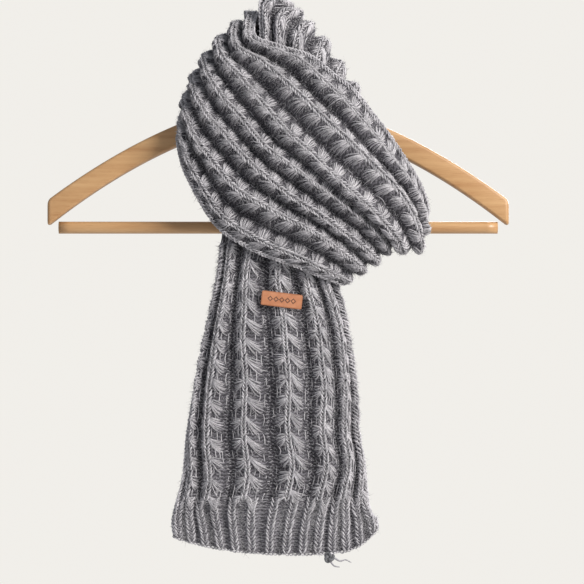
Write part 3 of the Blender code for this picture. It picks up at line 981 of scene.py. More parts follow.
# --- the scarf -----------------------------------------------------------------
@dataclass(frozen=True)
class Flank:
    """How the fans of strands lie on one flank of every rib."""

    side: int                 # -1 for the flank at smaller u, 1 for the other
    reach: float              # share of a rib from the chain to the tips
    droop: float              # how far the tips run ahead along the rib, in reaches; below 0, back
    roots: float              # metres from a fan's first root to its last
    tips: float               # metres from its first tip to its last
    strands: int
    bridges: int              # upright strands between two fans
    rise: float               # metres that a strand stands over the cloth half way
    dive: float               # metres that its tip goes down again
    puff: float               # metres that the cloth swells under a fan
    # darkest and lightest strand tones: a random spread, set lighter on a lit flank and darker on a shaded
    # one, as painted light and shade
    tones: tuple[float, float]


@dataclass(frozen=True)
class Stretch:
    """One stretch of the strip, with how densely its surface is dressed."""

    name: str
    first: float              # rows of the table
    last: float
    flanks: tuple[Flank, Flank]
    fibres: int
    columns: int              # of purl bumps across a valley
    hidden: tuple[float, float] = (0.0, 0.0)   # rows that another layer covers
    held: str = "draped"
    sides: int = 4            # of a chain's strands
    bumps: tuple[float, float] = (0.0, 0.5)    # tones of the purl bumps, kept dark as painted shade in the valleys
    row_step: float = 3.2 * MM
    opened: float = 0.0       # painted light: tone added to the upper ribs' fans and ground over some rows
    chains: tuple[float, float] = (0.5, 1.0)   # tones of the chains on the ribs

    def seen(self, rows: np.ndarray) -> np.ndarray:
        """Whether the cloth is free of other layers, for each row of the table."""
        return (rows < self.hidden[0]) | (rows > self.hidden[1])


# Painted light and shade in the tones: on the tails the lit flank (side 1) is lighter, and on the wrap both
# flanks are darker, the lower flank (side 1) darkest.
HANGING = (
    Flank(-1, 0.31, -0.35, 4.0 * MM, 12.0 * MM, 11, 3, 0.9 * MM, 1.4 * MM, 1.0 * MM, (0.6, 1.0)),
    Flank(1, 0.47, -0.7, 3.5 * MM, 12.0 * MM, 14, 3, 1.2 * MM, 1.2 * MM, 1.4 * MM, (0.75, 1.0)),
)
PLAIN = (
    Flank(-1, 0.31, -0.35, 3.0 * MM, 10.0 * MM, 5, 2, 0.9 * MM, 1.4 * MM, 0.9 * MM, (0.5, 1.0)),
    Flank(1, 0.47, -0.6, 3.0 * MM, 10.0 * MM, 6, 3, 1.2 * MM, 1.2 * MM, 1.2 * MM, (0.6, 1.0)),
)
CROSSING = (
    Flank(-1, 0.40, -0.12, 5.5 * MM, 13.0 * MM, 15, 2, 1.0 * MM, 0.9 * MM, 1.8 * MM, (0.3, 0.85)),
    Flank(1, 0.56, -0.44, 6.0 * MM, 13.0 * MM, 16, 0, 1.3 * MM, 2.6 * MM, 2.6 * MM, (0.1, 0.55)),
)

STRETCHES = [
    Stretch("scarf_front_tail", 0.0, 9.5, HANGING, 20000, 3, (8.7, 9.5), "hung"),
    Stretch("scarf_neck_front", 9.5, 13.6, HANGING, 5000, 2, (9.5, 11.6)),
    Stretch("scarf_neck_back", 13.6, 18.5, HANGING, 5500, 2),
    # On the wrap the bumps and chains are set darker than on the tails, as painted shade, and painted light
    # lifts the upper ribs over its right end.
    Stretch("scarf_front_wrap", 18.5, 27.3, CROSSING, 24000, 2,
            bumps=(0.0, 0.25), opened=0.4, chains=(0.4, 0.85)),
    Stretch("scarf_back_tail", 27.3, float(LAST), PLAIN, 6000, 2, (0.0, 0.0), "hung", 3, row_step=4.2 * MM),
]


@dataclass
class Cloth:
    """The one strip that all stretches are cut from, with the line along every rib."""

    strip: Strip = field(default_factory=lambda: Strip(STRIP_TABLE))
    lines: list[RibLine] = field(init=False)
    hem_lines: list[RibLine] = field(init=False)
    edge_lines: list[RibLine] = field(init=False)

    def __post_init__(self) -> None:
        """Measure the line along every rib of the body and of the hems, and along both edges."""
        self.lines, self.hem_lines = (
            [RibLine(self.strip, (k + 0.5) / ribs, ribs) for k in range(ribs)]
            for ribs in (RIBS, RIBS * HEM_RIBS_PER_RIB)
        )
        self.edge_lines = [RibLine(self.strip, u) for u in EDGE_CHAINS]


@dataclass
class Panel:
    """One stretch of the scarf: its cloth, chains, fans, bumps and fuzz."""

    cloth: Cloth
    stretch: Stretch
    palette: Palette
    random: np.random.Generator
    width: float = 180 * MM
    columns: int = 98                 # of the ground cloth's faces
    chain_half: float = 2.3 * MM      # half of a chain's width on the ribs, the hem and the edges
    hem_half: float = 3.5 * MM
    edge_half: float = 1.2 * MM
    chain_radius: float = 0.82 * MM   # of its legs
    edge_loops: int = 58              # side by side along a bound-off edge
    loop_radius: float = 0.9 * MM
    strand_radius: float = 0.48 * MM
    ladder_span: float = 0.36         # half of a ladder strand's length, in fan pitches
    hem_valley: tuple[float, float] = (0.28, 0.72)  # shares of a hem rib between which its valley lies
    hem_tones: tuple[float, float] = (0.4, 0.8)     # of the hem's chains
    hem_ground: tuple[float, float] = (0.7, 0.3)    # tone between the hem's ribs, and added on them: painted shade in the hem's valleys
    edge_tone: float = 0.6
    edge_fade: float = 0.02           # share of the width over which the edge's tone fades
    fibre_radius: float = 0.18 * MM
    fibre_length: float = 4.0 * MM    # a fibre's mean length
    fibre_rise: float = 3.6 * MM      # how far a fibre's tip may stand off its root
    fibre_lean: float = 0.66          # share of the fibres that lean with the fans
    open_rows: tuple[float, float] = (22.5, 25.0)  # rows between which the painted light fades in
    open_until: float = 0.55          # share of the width past which the painted light stops
    open_fade: float = 0.25

    def phase(self, rib: int, side: int) -> float:
        """Where the fans of one flank start, as a share of their pitch: a fixed scatter."""
        return (0.37 * rib + 0.21 * (side > 0)) % 1.0

    def shown(self, line: RibLine, at: np.ndarray) -> np.ndarray:
        """The lengths along a rib's line that no other layer covers."""
        return at[self.stretch.seen(np.interp(at, line.length, line.rows))]

    def fan_places(self, rib: int, flank: Flank) -> np.ndarray:
        """Lengths along a rib at which the fans of one flank start, a fan pitch apart.

        Args:
            rib: the rib's number.
            flank: which flank.

        Returns:
            The lengths, a flat array.
        """
        line = self.cloth.lines[rib]
        first = max(self.stretch.first, FRONT_HEM_ROWS[0] + 0.2)
        last = min(self.stretch.last, BACK_HEM_ROWS[1] - 0.15)
        phase = self.phase(rib, flank.side)
        low = math.ceil(line.at_row(first) / FAN_PITCH - phase)
        high = math.floor(line.at_row(last) / FAN_PITCH - phase)
        return self.shown(line, (np.arange(low, high + 1) + phase) * FAN_PITCH)

    def opened(self, line: RibLine, rows: np.ndarray) -> np.ndarray:
        """Painted light: the tone added to one rib's fans and ground, which grows with the row and falls
        with the rib's u.
        """
        ahead = smooth_step((rows - self.open_rows[0]) / (self.open_rows[1] - self.open_rows[0]))
        return self.stretch.opened * ahead * smooth_step((self.open_until - line.u) / self.open_fade)

    def puffs(self, u: np.ndarray, rows: np.ndarray) -> tuple[np.ndarray, np.ndarray]:
        """Swelling under each fan, and how light its strands make the ground, with painted shade in the
        valleys and between fans.

        A raised cosine of the length along the rib, which the fan's droop shifts, times
        a half sine of the share of the fan's reach.

        Args:
            u: shares of the width, flat.
            rows: rows of the table, flat.

        Returns:
            The swelling in metres and the ground's tone, which painted shade takes to 0 in the valleys.
        """
        rib = np.clip((u * RIBS).astype(int), 0, RIBS - 1)
        share = u * RIBS - rib - 0.5
        swell, tone = np.zeros_like(u), np.zeros_like(u)
        for k, line in enumerate(self.cloth.lines):
            for flank in self.stretch.flanks:
                chosen = (rib == k) & (np.sign(share + 1e-9) == flank.side)
                out = np.abs(share[chosen])
                along = line.at_row(rows[chosen])
                along = along - flank.droop * out * line.width(along)
                turns = along / FAN_PITCH - self.phase(k, flank.side)
                wave = (0.5 + 0.5 * np.cos(2 * np.pi * turns)) ** 0.8
                window = hump(np.clip(out / min(flank.reach, 0.5), 0, 1)) ** 0.9
                swell[chosen] = flank.puff * window * wave
                # Painted shade: the ground darkens towards the valley, between fans and on the shaded
                # flank.
                near = 1 - smooth_step((out / flank.reach - 0.7) / 0.35)
                light = 0.5 * sum(flank.tones) + self.opened(line, rows[chosen])
                tone[chosen] = near * (0.15 + 0.85 * wave) * light
        body = 1 - self.cloth.strip.hem_share(rows)
        return swell * body, tone

    def shaped(self, u: np.ndarray, rows: np.ndarray, height: np.ndarray) -> tuple[np.ndarray, np.ndarray]:
        """Points at a height over the ribbed surface, and the normals there.

        Args:
            u: shares of the width, of any shape.
            rows: rows of the table, of the same shape.
            height: metres over the ribs, of the same shape.

        Returns:
            Points and normals, with a last axis of three.
        """
        flat_u, flat_rows = u.reshape(-1), rows.reshape(-1)
        strip = self.cloth.strip
        normals = strip.normals(flat_u, flat_rows)
        lift = strip.relief(flat_u, flat_rows) + self.puffs(flat_u, flat_rows)[0] + height.reshape(-1)
        points = strip.surface(flat_u, flat_rows) + normals * lift[:, None]
        return points.reshape(*u.shape, 3), normals.reshape(*u.shape, 3)

    def lay(self, line: RibLine, share: Numbers, along: Numbers, height: Numbers, radii: Numbers,
            tones: np.ndarray) -> Strands:
        """Strands laid on the ribbed surface.

        Args:
            line: the rib's line that shares and lengths are measured from.
            share: sideways places in ribs, with the stations as last axis.
            along: lengths along the rib.
            height: metres over the ribs.
            radii: strand radii.
            tones: one tone a strand.

        Returns:
            The strands, all four arrays spread to one shape.
        """
        share, along, height, radii = np.broadcast_arrays(share, along, height, radii)
        u, rows = line.place(share, along)
        centres, normals = self.shaped(u, rows, height)
        stations = (-1, share.shape[-1])
        return Strands(
            centres.reshape(*stations, 3), normals.reshape(*stations, 3),
            radii.reshape(stations), tones.reshape(-1),
        )

    def ground_tones(self, u: np.ndarray, rows: np.ndarray) -> np.ndarray:
        """How light the ground cloth is: under fans, on the hem's ribs and along the edges, with painted
        shade in the valleys.

        Args:
            u: shares of the width, flat.
            rows: rows of the table, flat.

        Returns:
            The tones of the front, then those of the reverse.
        """
        hem = self.cloth.strip.hem_share(rows)
        # Painted shade: the hem's ground is darker between its ribs.
        stripes = 0.5 - 0.5 * np.cos(2 * np.pi * RIBS * HEM_RIBS_PER_RIB * u)
        low, more = self.hem_ground
        front = self.puffs(u, rows)[1] * (1 - hem) + (low + more * stripes) * hem
        edge = smooth_step(1 - np.minimum(u, 1 - u) / self.edge_fade)
        front = np.maximum(front, self.edge_tone * edge)
        # Painted shade: the reverse is darker in its own valleys, behind the front's crests.
        reverse = 1.0 - 0.5 * hump(np.mod(u * RIBS - RIB_SHIFT, 1.0))
        return np.concatenate([front, reverse])

    def shell(self) -> bpy.types.Object:
        """The ground cloth: a closed wall on the solid's own form, swollen under the fans."""
        strip, stretch = self.cloth.strip, self.stretch
        fine = np.linspace(stretch.first, stretch.last, 500)
        length = run_length(strip.surface(np.full(fine.shape, 0.5), fine))
        trim = JOINT_GAP / 2
        stations = np.linspace(trim, length[-1] - trim, int(length[-1] / stretch.row_step))
        u, rows = np.meshgrid(np.linspace(0, 1, self.columns + 1), np.interp(stations, length, fine))
        front, normals = self.shaped(u, rows, np.full(u.shape, SHELL_FRONT))
        flat_u, flat_rows = u.reshape(-1), rows.reshape(-1)
        lift = strip.relief(flat_u, flat_rows) - SHELL_BACK
        back = strip.surface(flat_u, flat_rows) + normals.reshape(-1, 3) * lift[:, None]
        mesh = wall_mesh(stretch.name + "_cloth", front, back.reshape(front.shape))
        set_values(mesh, "tone", self.ground_tones(flat_u, flat_rows))
        set_values(mesh, "across", np.tile(flat_u * self.width / PURL_WIDTH, 2))
        set_values(mesh, "along", np.tile(np.interp(flat_rows, fine, length) / STITCH_PITCH, 2))
        return add_piece(mesh, self.palette.get(Finish.GROUND), stretch.name)

    def stitch_places(self, line: RibLine, rows: tuple[float, float]) -> np.ndarray:
        """Lengths along a rib of the middles of its stitches, evenly spaced between two rows.

        Args:
            line: the rib's line.
            rows: the two rows.

        Returns:
            The lengths, a flat array.
        """
        start, end = line.at_row(rows[0]), line.at_row(rows[1])
        count = max(1, int((end - start) / STITCH_PITCH))
        return self.shown(line, start + (np.arange(count) + 0.5) * (end - start) / count)

    def chain(self, line: RibLine, rows: tuple[float, float], half: float, inner: float,
              tones: tuple[float, float]) -> Strands:
        """A chain of V stitches along one rib.

        Each leg runs from the middle of the V out to its top: sideways = inner share
        plus a quarter sine, height = a half sine less a slow fall under the next V.

        Args:
            line: the rib's line.
            rows: the rows where the chain starts and ends.
            half: half of the chain's width.
            inner: share of the half width at which a leg starts.
            tones: darkest and lightest.

        Returns:
            Two legs for each stitch.
        """
        at = self.stitch_places(line, rows)
        t = np.linspace(0, 1, 5)
        jitter = self.random.normal(0, 1, (4, len(at), 2, 1))
        along = at[:, None, None] + STITCH_PITCH * (1.6 * t - 0.8) + 0.25 * MM * jitter[0]
        sway = inner + (1 - inner) * swing(t) + 0.08 * jitter[1]
        wander = 0.35 * MM * np.sin(at / (9 * MM) + 6 * line.u)[:, None, None]
        share = (np.array([-1.0, 1.0])[:, None] * half * sway + wander) / line.width(along)
        arc = hump(np.clip(0.08 + 0.88 * t, 0, 1))
        height = MM * (0.8 + 1.5 * arc - 0.9 * t**2 + 0.15 * jitter[2])
        radii = self.chain_radius * (0.3 + 0.7 * hump(np.clip(t, 0.02, 0.98)) ** 0.7)
        radii = radii * (1 + 0.1 * jitter[3])
        return self.lay(line, share, along, height, radii, self.random.uniform(*tones, len(at) * 2))

    def fans(self, rib: int, flank: Flank) -> Strands | None:
        """The fans of strands on one flank of a rib.

        A fan's strands leave one spot beside the chain and spread: sideways = the reach
        times the share of the strand, along = droop x a quarter sine + strand number x
        a growing spread, height = a half sine less a cubed fall of the tip.

        Args:
            rib: the rib's number.
            flank: how the fans of this flank lie.

        Returns:
            All the strands, or nothing where the stretch holds no fan.
        """
        line, at = self.cloth.lines[rib], self.fan_places(rib, flank)
        if not len(at):
            return None
        t = np.linspace(0, 1, 5)
        number = np.linspace(-0.5, 0.5, flank.strands)[:, None]
        jitter = self.random.normal(0, 1, (6, len(at), flank.strands, 1))
        lift = self.random.normal(0, 1, (4, len(at), 1, 1))
        width = line.width(at)[:, None, None]
        reach = flank.reach * (1 + 0.1 * jitter[0] + 0.06 * lift[2]) * (1 - 0.5 * number**2)
        start = 1.5 * MM / width
        share = flank.side * (start + (reach - start) * t**0.9)
        drop = flank.droop * flank.reach * width * (1 + 0.15 * lift[0]) * swing(t)
        spread = (flank.roots + (flank.tips - flank.roots) * swing(t)) * number
        bend = 0.7 * MM * jitter[1] * hump(t) + 0.6 * MM * jitter[2] * t
        along = at[:, None, None] + 0.5 * MM * lift[3] + drop + spread + bend
        height = 0.9 * MM + flank.rise * hump(t**0.9) * (1 + 0.3 * lift[1]) - flank.dive * t**3
        height = height + 0.35 * MM * jitter[3]
        radii = self.strand_radius * (1 + 0.18 * jitter[4]) * (1 - 0.5 * t**2)
        tones = self.random.uniform(*flank.tones, (len(at), flank.strands))
        # Painted light: the upper ribs' fans are lifted in tone over the wrap's right end.
        opened = self.opened(line, np.interp(at, line.length, line.rows))[:, None]
        return self.lay(line, share, along, height, radii, np.minimum(tones + opened, 1))

    def ladders(self, rib: int, flank: Flank) -> Strands | None:
        """Upright strands that bridge the gaps between fans, side by side over the reach.

        Args:
            rib: the rib's number.
            flank: how the fans of this flank lie.

        Returns:
            All the strands, or nothing where the stretch holds no fan or the flank no bridge.
        """
        line, at = self.cloth.lines[rib], self.fan_places(rib, flank)
        if not len(at) or not flank.bridges:
            return None
        place = np.linspace(0.3, 0.97, flank.bridges)[:, None]
        t = np.linspace(0, 1, 5)
        jitter = self.random.normal(0, 1, (4, len(at), len(place), 1))
        width = line.width(at)[:, None, None]
        out = flank.reach * (place + 0.05 * jitter[0])
        share = flank.side * (out + 0.8 * MM / width * hump(t) * jitter[1])
        middle = at[:, None, None] + 0.5 * FAN_PITCH + flank.droop * out * width
        along = middle + FAN_PITCH * (self.ladder_span + 0.06 * jitter[2]) * (2 * t - 1)
        height = MM * (0.3 + 0.7 * hump(t) + 0.25 * jitter[3])
        radii = self.strand_radius * 1.05 * (0.6 + 0.4 * hump(t))
        # Painted shade: the bridging strands lie in the gaps between fans and are set a fifth darker.
        tones = self.random.uniform(*flank.tones, (len(at), len(place))) * 0.8
        return self.lay(line, share, along, height, radii, tones)

    def bumps(self, line: RibLine, rows: tuple[float, float], span: tuple[float, float], columns: int,
              tones: tuple[float, float]) -> Strands:
        """Purl bumps: short arcs across a valley, in staggered columns.

        Args:
            line: the rib's line that the valley lies beside.
            rows: first and last row.
            span: shares of the rib between which the valley lies.
            columns: bumps side by side.
            tones: darkest and lightest.

        Returns:
            One arc for each bump.
        """
        at = self.stitch_places(line, rows)[:, None, None]
        column = (np.arange(columns) + 0.5)[:, None] / columns
        t = np.linspace(0, 1, 4)
        jitter = self.random.normal(0, 1, (3, len(at), columns, 1))
        size = (span[1] - span[0]) / columns
        share = span[0] + (span[1] - span[0]) * column + size * 1.25 * (t - 0.5) + 0.02 * jitter[0]
        stagger = STITCH_PITCH * 0.5 * (np.arange(columns) % 2)[:, None]
        along = at + stagger + 0.5 * MM * jitter[1] + 1.1 * MM * hump(t)
        height = MM * (0.35 + 0.95 * hump(t) + 0.15 * jitter[2])
        radii = self.strand_radius * 1.15 * (0.7 + 0.3 * hump(t))
        return self.lay(line, share, along, height, radii, self.random.uniform(*tones, (len(at), columns)))

    def edge_chain(self, row: float) -> Strands:
        """The bound-off edge: loops side by side over a hem's last row.

        Each loop goes round the edge: a cosine along the normal, and a sine outward.

        Args:
            row: that row.

        Returns:
            The loops.
        """
        count = self.edge_loops
        t = np.linspace(0, 1, 6)
        scatter = self.random.normal(0, 1, (2, count, 1))
        u = np.clip((np.arange(count)[:, None] + 1.1 * t - 0.05) / count, 0, 1)
        rows = np.full(u.shape, row)
        points, normals = self.shaped(u, rows, np.zeros(u.shape))
        inner, _ = self.shaped(u, rows + (0.05 if row < 1 else -0.05), np.zeros(u.shape))
        out = 0.1 * MM + MM * (1.1 + 0.3 * scatter[0]) * hump(t)
        over = MM * (1.5 * np.cos(np.pi * t) + 0.1 * scatter[1])
        centres = points + unit(points - inner) * out[..., None] + normals * over[..., None]
        radii = np.broadcast_to(self.loop_radius * (0.7 + 0.3 * hump(t)), u.shape)
        return Strands(centres, normals, radii, self.random.uniform(0.5, 1.0, count))

    def hems(self) -> list[Hem]:
        """The hems whose edge is in this stretch."""
        return [hem for hem in HEMS if self.stretch.first <= hem.edge <= self.stretch.last]

    def stitches(self) -> bpy.types.Object:
        """All the chains of the stretch, those of its hem and its bound-off edge too."""
        cloth, first, last = self.cloth, self.stretch.first, self.stretch.last
        body = (max(first, FRONT_HEM_ROWS[1] - 0.15), min(last, BACK_HEM_ROWS[0] + 0.1))
        whole = (max(first, 0.1), min(last, LAST - 0.1))
        tones = self.stretch.chains
        groups = [self.chain(line, body, self.chain_half, 0.05, tones) for line in cloth.lines]
        groups += [self.chain(line, whole, self.edge_half, -0.6, tones) for line in cloth.edge_lines]
        for hem in self.hems():
            groups += [
                self.chain(line, hem.chains, self.hem_half, 0.2, self.hem_tones) for line in cloth.hem_lines
            ]
            groups.append(self.edge_chain(hem.edge))
        mesh = strand_mesh(self.stretch.name + "_chains", groups, self.stretch.sides)
        return add_piece(mesh, self.palette.get(Finish.STRAND))

    def flank_strands(self) -> bpy.types.Object:
        """All the fans, ladders and purl bumps of the stretch."""
        stretch = self.stretch
        groups = [
            make(rib, flank)
            for make in (self.fans, self.ladders)
            for rib in range(RIBS)
            for flank in stretch.flanks
        ]
        before, after = stretch.flanks
        body = (max(stretch.first, FRONT_HEM_ROWS[0] + 0.1), min(stretch.last, BACK_HEM_ROWS[1]))
        valley = (after.reach + 0.02, 0.98 - before.reach)
        # Painted shade: the purl bumps in the body's and the hem's valleys get dark tones.
        for line in self.cloth.lines[:-1]:
            groups.append(self.bumps(line, body, valley, stretch.columns, stretch.bumps))
        for hem in self.hems():
            for line in self.cloth.hem_lines[:-1]:
                groups.append(self.bumps(line, hem.bumps, self.hem_valley, 1, (0.0, 0.5)))
        mesh = strand_mesh(stretch.name + "_fans", [group for group in groups if group], 3)
        return add_piece(mesh, self.palette.get(Finish.STRAND))

    def fibre_directions(self, u: np.ndarray, rows: np.ndarray, side: np.ndarray,
                         normals: np.ndarray) -> np.ndarray:
        """Slants of loose fibres: a turn in the cloth's plane plus a share of its normal.

        Two fibres in three lean with the fans, and the others leave at any turn.

        Args:
            u: shares of the width, a flat array.
            rows: rows of the table, as many as u.
            side: the flank of each, -1 or 1.
            normals: the cloth's normals there.

        Returns:
            One unit vector for each fibre.
        """
        strip, random, count = self.cloth.strip, self.random, len(u)
        ahead = strip.surface(u, np.minimum(rows + 0.01, LAST))
        line = unit(ahead - strip.surface(u, np.maximum(rows - 0.01, 0)))
        across = np.cross(line, normals)
        before, after = self.stretch.flanks
        droop = np.where(side > 0, after.droop, before.droop)
        lean = np.arctan2(-side, droop) + random.normal(0, 0.5, count)
        leans = random.uniform(0, 1, count) < self.fibre_lean
        turn = np.where(leans, lean, random.uniform(0, 2 * np.pi, count))
        flat = np.cos(turn)[:, None] * line + np.sin(turn)[:, None] * across
        return unit(normals * random.uniform(0.05, 0.9, count)[:, None] + flat)

    def fuzz(self) -> bpy.types.Object:
        """Loose fibres: long thin spikes, a triangle at the root and a point at the tip.

        Roots crowd towards the crests. No fibre stands off by more than fibre_rise.
        """
        random, stretch = self.random, self.stretch
        rows = random.uniform(stretch.first + 0.02, stretch.last - 0.02, stretch.fibres)
        rows = rows[stretch.seen(rows)]
        count = len(rows)
        rib = random.integers(0, RIBS, count)
        side = np.where(random.uniform(-1, 1, count) > 0, 1, -1)
        share = 0.55 * side * random.uniform(0, 1, count) ** 1.3
        u = np.clip((rib + 0.5 + share) / RIBS, 0, 1)
        roots, normals = self.shaped(u, rows, random.uniform(0.5, 2.2, count) * MM * (1.1 - np.abs(share)))
        direction = self.fibre_directions(u, rows, side, normals)
        length = random.gamma(4.0, self.fibre_length / 4, count)[:, None]
        upright = np.maximum((direction * normals).sum(axis=1), 0.05)[:, None]
        length = np.minimum(length, self.fibre_rise / upright)
        beside = unit(np.cross(direction, normals + 0.01)) * self.fibre_radius
        above = np.cross(beside, direction)
        corners = [roots + beside, roots - beside + 0.5 * above, roots + above, roots + direction * length]
        spike = np.array([[0, 2, 1], [0, 1, 3], [1, 2, 3], [2, 0, 3]])
        faces = (4 * np.arange(count)[:, None] + spike.reshape(1, -1)).reshape(-1, 3)
        mesh = mesh_from(stretch.name + "_fuzz", np.stack(corners, axis=1).reshape(-1, 3), [faces])
        # Painted shade: fibres rooted towards a valley are darker.
        tone = random.uniform(0.3, 1.0, count) * (1.05 - 1.7 * np.abs(share))
        set_values(mesh, "tone", np.repeat(np.clip(tone, 0.0, 1.0), 4))
        return add_piece(mesh, self.palette.get(Finish.FIBRE))

    def build(self) -> None:
        shell = self.shell()
        extras = [self.stitches(), self.flank_strands(), self.fuzz()]
        middle = RibLine(self.cloth.strip, 0.5)
        length = float(middle.at_row(self.stretch.last) - middle.at_row(self.stretch.first))


@dataclass
class Scarf:
    """The whole scarf, stretch by stretch."""

    palette: Palette
    cloth: Cloth = field(default_factory=Cloth)
    seed: int = 40

    def build(self) -> None:
        """Make every stretch."""
        for number, stretch in enumerate(STRETCHES):
            Panel(self.cloth, stretch, self.palette, np.random.default_rng(self.seed + number)).build()


# --- the knot under the hem ----------------------------------------------------
@dataclass
class YarnEnd:
    """The finishing knot and its two loose ends, whose places are in millimetres."""

    palette: Palette
    centre: Triple = (46.0, -27.0, -552.2)
    depth: float = 1.5
    knot_radius: float = 1.4 * MM
    end_radius: float = 1.0 * MM
    routes: dict[str, list[Triple]] = field(
        default_factory=lambda: {
            "yarn_end_long": [(49.0, -27.2, -552.0), (51.6, -27.5, -553.3), (56.0, -28.5, -555.5),
                              (61.0, -28.0, -554.5), (66.0, -27.0, -557.0)],
            "yarn_end_short": [(47.0, -27.0, -555.0), (48.4, -27.5, -557.5), (51.0, -28.0, -560.1),
                               (55.5, -27.5, -561.0)],
        }
    )

    def strand(self, path: np.ndarray, radii: np.ndarray, facing: Triple, tone: float) -> Strands:
        """One strand of yarn along a path in millimetres, with the side that faces the eye."""
        normals = unit(np.broadcast_to(np.array(facing), path.shape))
        return Strands(path[None] * MM, normals[None], radii[None], np.full(1, tone))

    def knot(self) -> None:
        """A tight knot: a torus curve, (R + r cos 3t) round 2t sideways and r sin 3t in depth."""
        t = np.linspace(0, 2 * np.pi, 72)
        ring = 2.5 + 1.5 * np.cos(3 * t)
        sideways, upward = ring * np.cos(2 * t), 1.05 * ring * np.sin(2 * t)
        path = np.stack([sideways, self.depth * np.sin(3 * t), upward], axis=1)
        radii = self.knot_radius * (1 + 0.1 * np.sin(9 * t))
        strand = self.strand(path + self.centre, radii, (0.1, -1.0, 0.05), 0.3)
        add_piece(strand_mesh("knot_yarn", [strand], 8), self.palette.get(Finish.KNOT), "yarn_knot")

    def ends(self) -> None:
        """Each loose end as a thin strand that tapers away."""
        for name, route in self.routes.items():
            path = catmull_rom(np.array(route), np.linspace(0, len(route) - 1, 24))
            radii = self.end_radius * (0.95 - 0.5 * np.linspace(0, 1, len(path)) ** 2)
            strand = self.strand(path, radii, (0.0, -1.0, 0.0), 0.45)
            mesh = strand_mesh(name + "_strand", [strand], 8)
            add_piece(mesh, self.palette.get(Finish.STRAND), name)

    def build(self) -> None:
        """Make the knot and its ends."""
        self.knot()
        self.ends()


# --- the label -----------------------------------------------------------------
@dataclass
class Label:
    """A small leather label with round corners and a row of pressed diamonds."""

    palette: Palette
    size: Triple = (37.0 * MM, 13.2 * MM, 1.5 * MM)
    centre: Triple = LABEL_CENTRE
    turn: float = LABEL_TURN
    corner: float = 1.6 * MM
    least_corner: float = 0.15 * MM
    rim: float = 0.45 * MM
    worn: float = 1.1 * MM            # how far in from the outline the dark rim fades
    flat: Triple = (0.46, 0.3, 0.12)  # insets of the flat faces' rings, in heights

    def build(self) -> None:
        """A cushion-edged plate: rings of a rounded rectangle, shrunk towards both faces.

        A rim ring stands in from the outline by a quarter circle's sine and cosine, and
        the rings inside it carry the flat faces.
        """
        width, height, thickness = self.size
        arc = np.linspace(0, np.pi / 2, 5)
        inset = np.concatenate([height * np.array(self.flat), self.rim * (1 - np.sin(arc))])
        depth = np.concatenate([np.zeros(3), self.rim * (1 - np.cos(arc))]) - thickness / 2
        inset = np.concatenate([inset, inset[::-1]])[:, None]
        depth = np.concatenate([depth, -depth[::-1]])[:, None]
        corner = np.maximum(self.corner - inset, self.least_corner)
        x, z = rounded_rectangles(width / 2 - inset, height / 2 - inset, corner, 9)
        rings = np.stack([x, np.broadcast_to(depth, x.shape), z], axis=-1)
        cos, sin = math.cos(self.turn), math.sin(self.turn)
        lean = np.array([[cos, 0, sin], [0, 1, 0], [-sin, 0, cos]])
        mesh = ring_mesh("label_leather", rings @ lean.T + np.array(self.centre))
        set_values(mesh, "rim", np.repeat(0.75 * smooth_step(1.0 - inset / self.worn), x.shape[1]))
        add_piece(mesh, self.palette.get(Finish.LEATHER), "label")


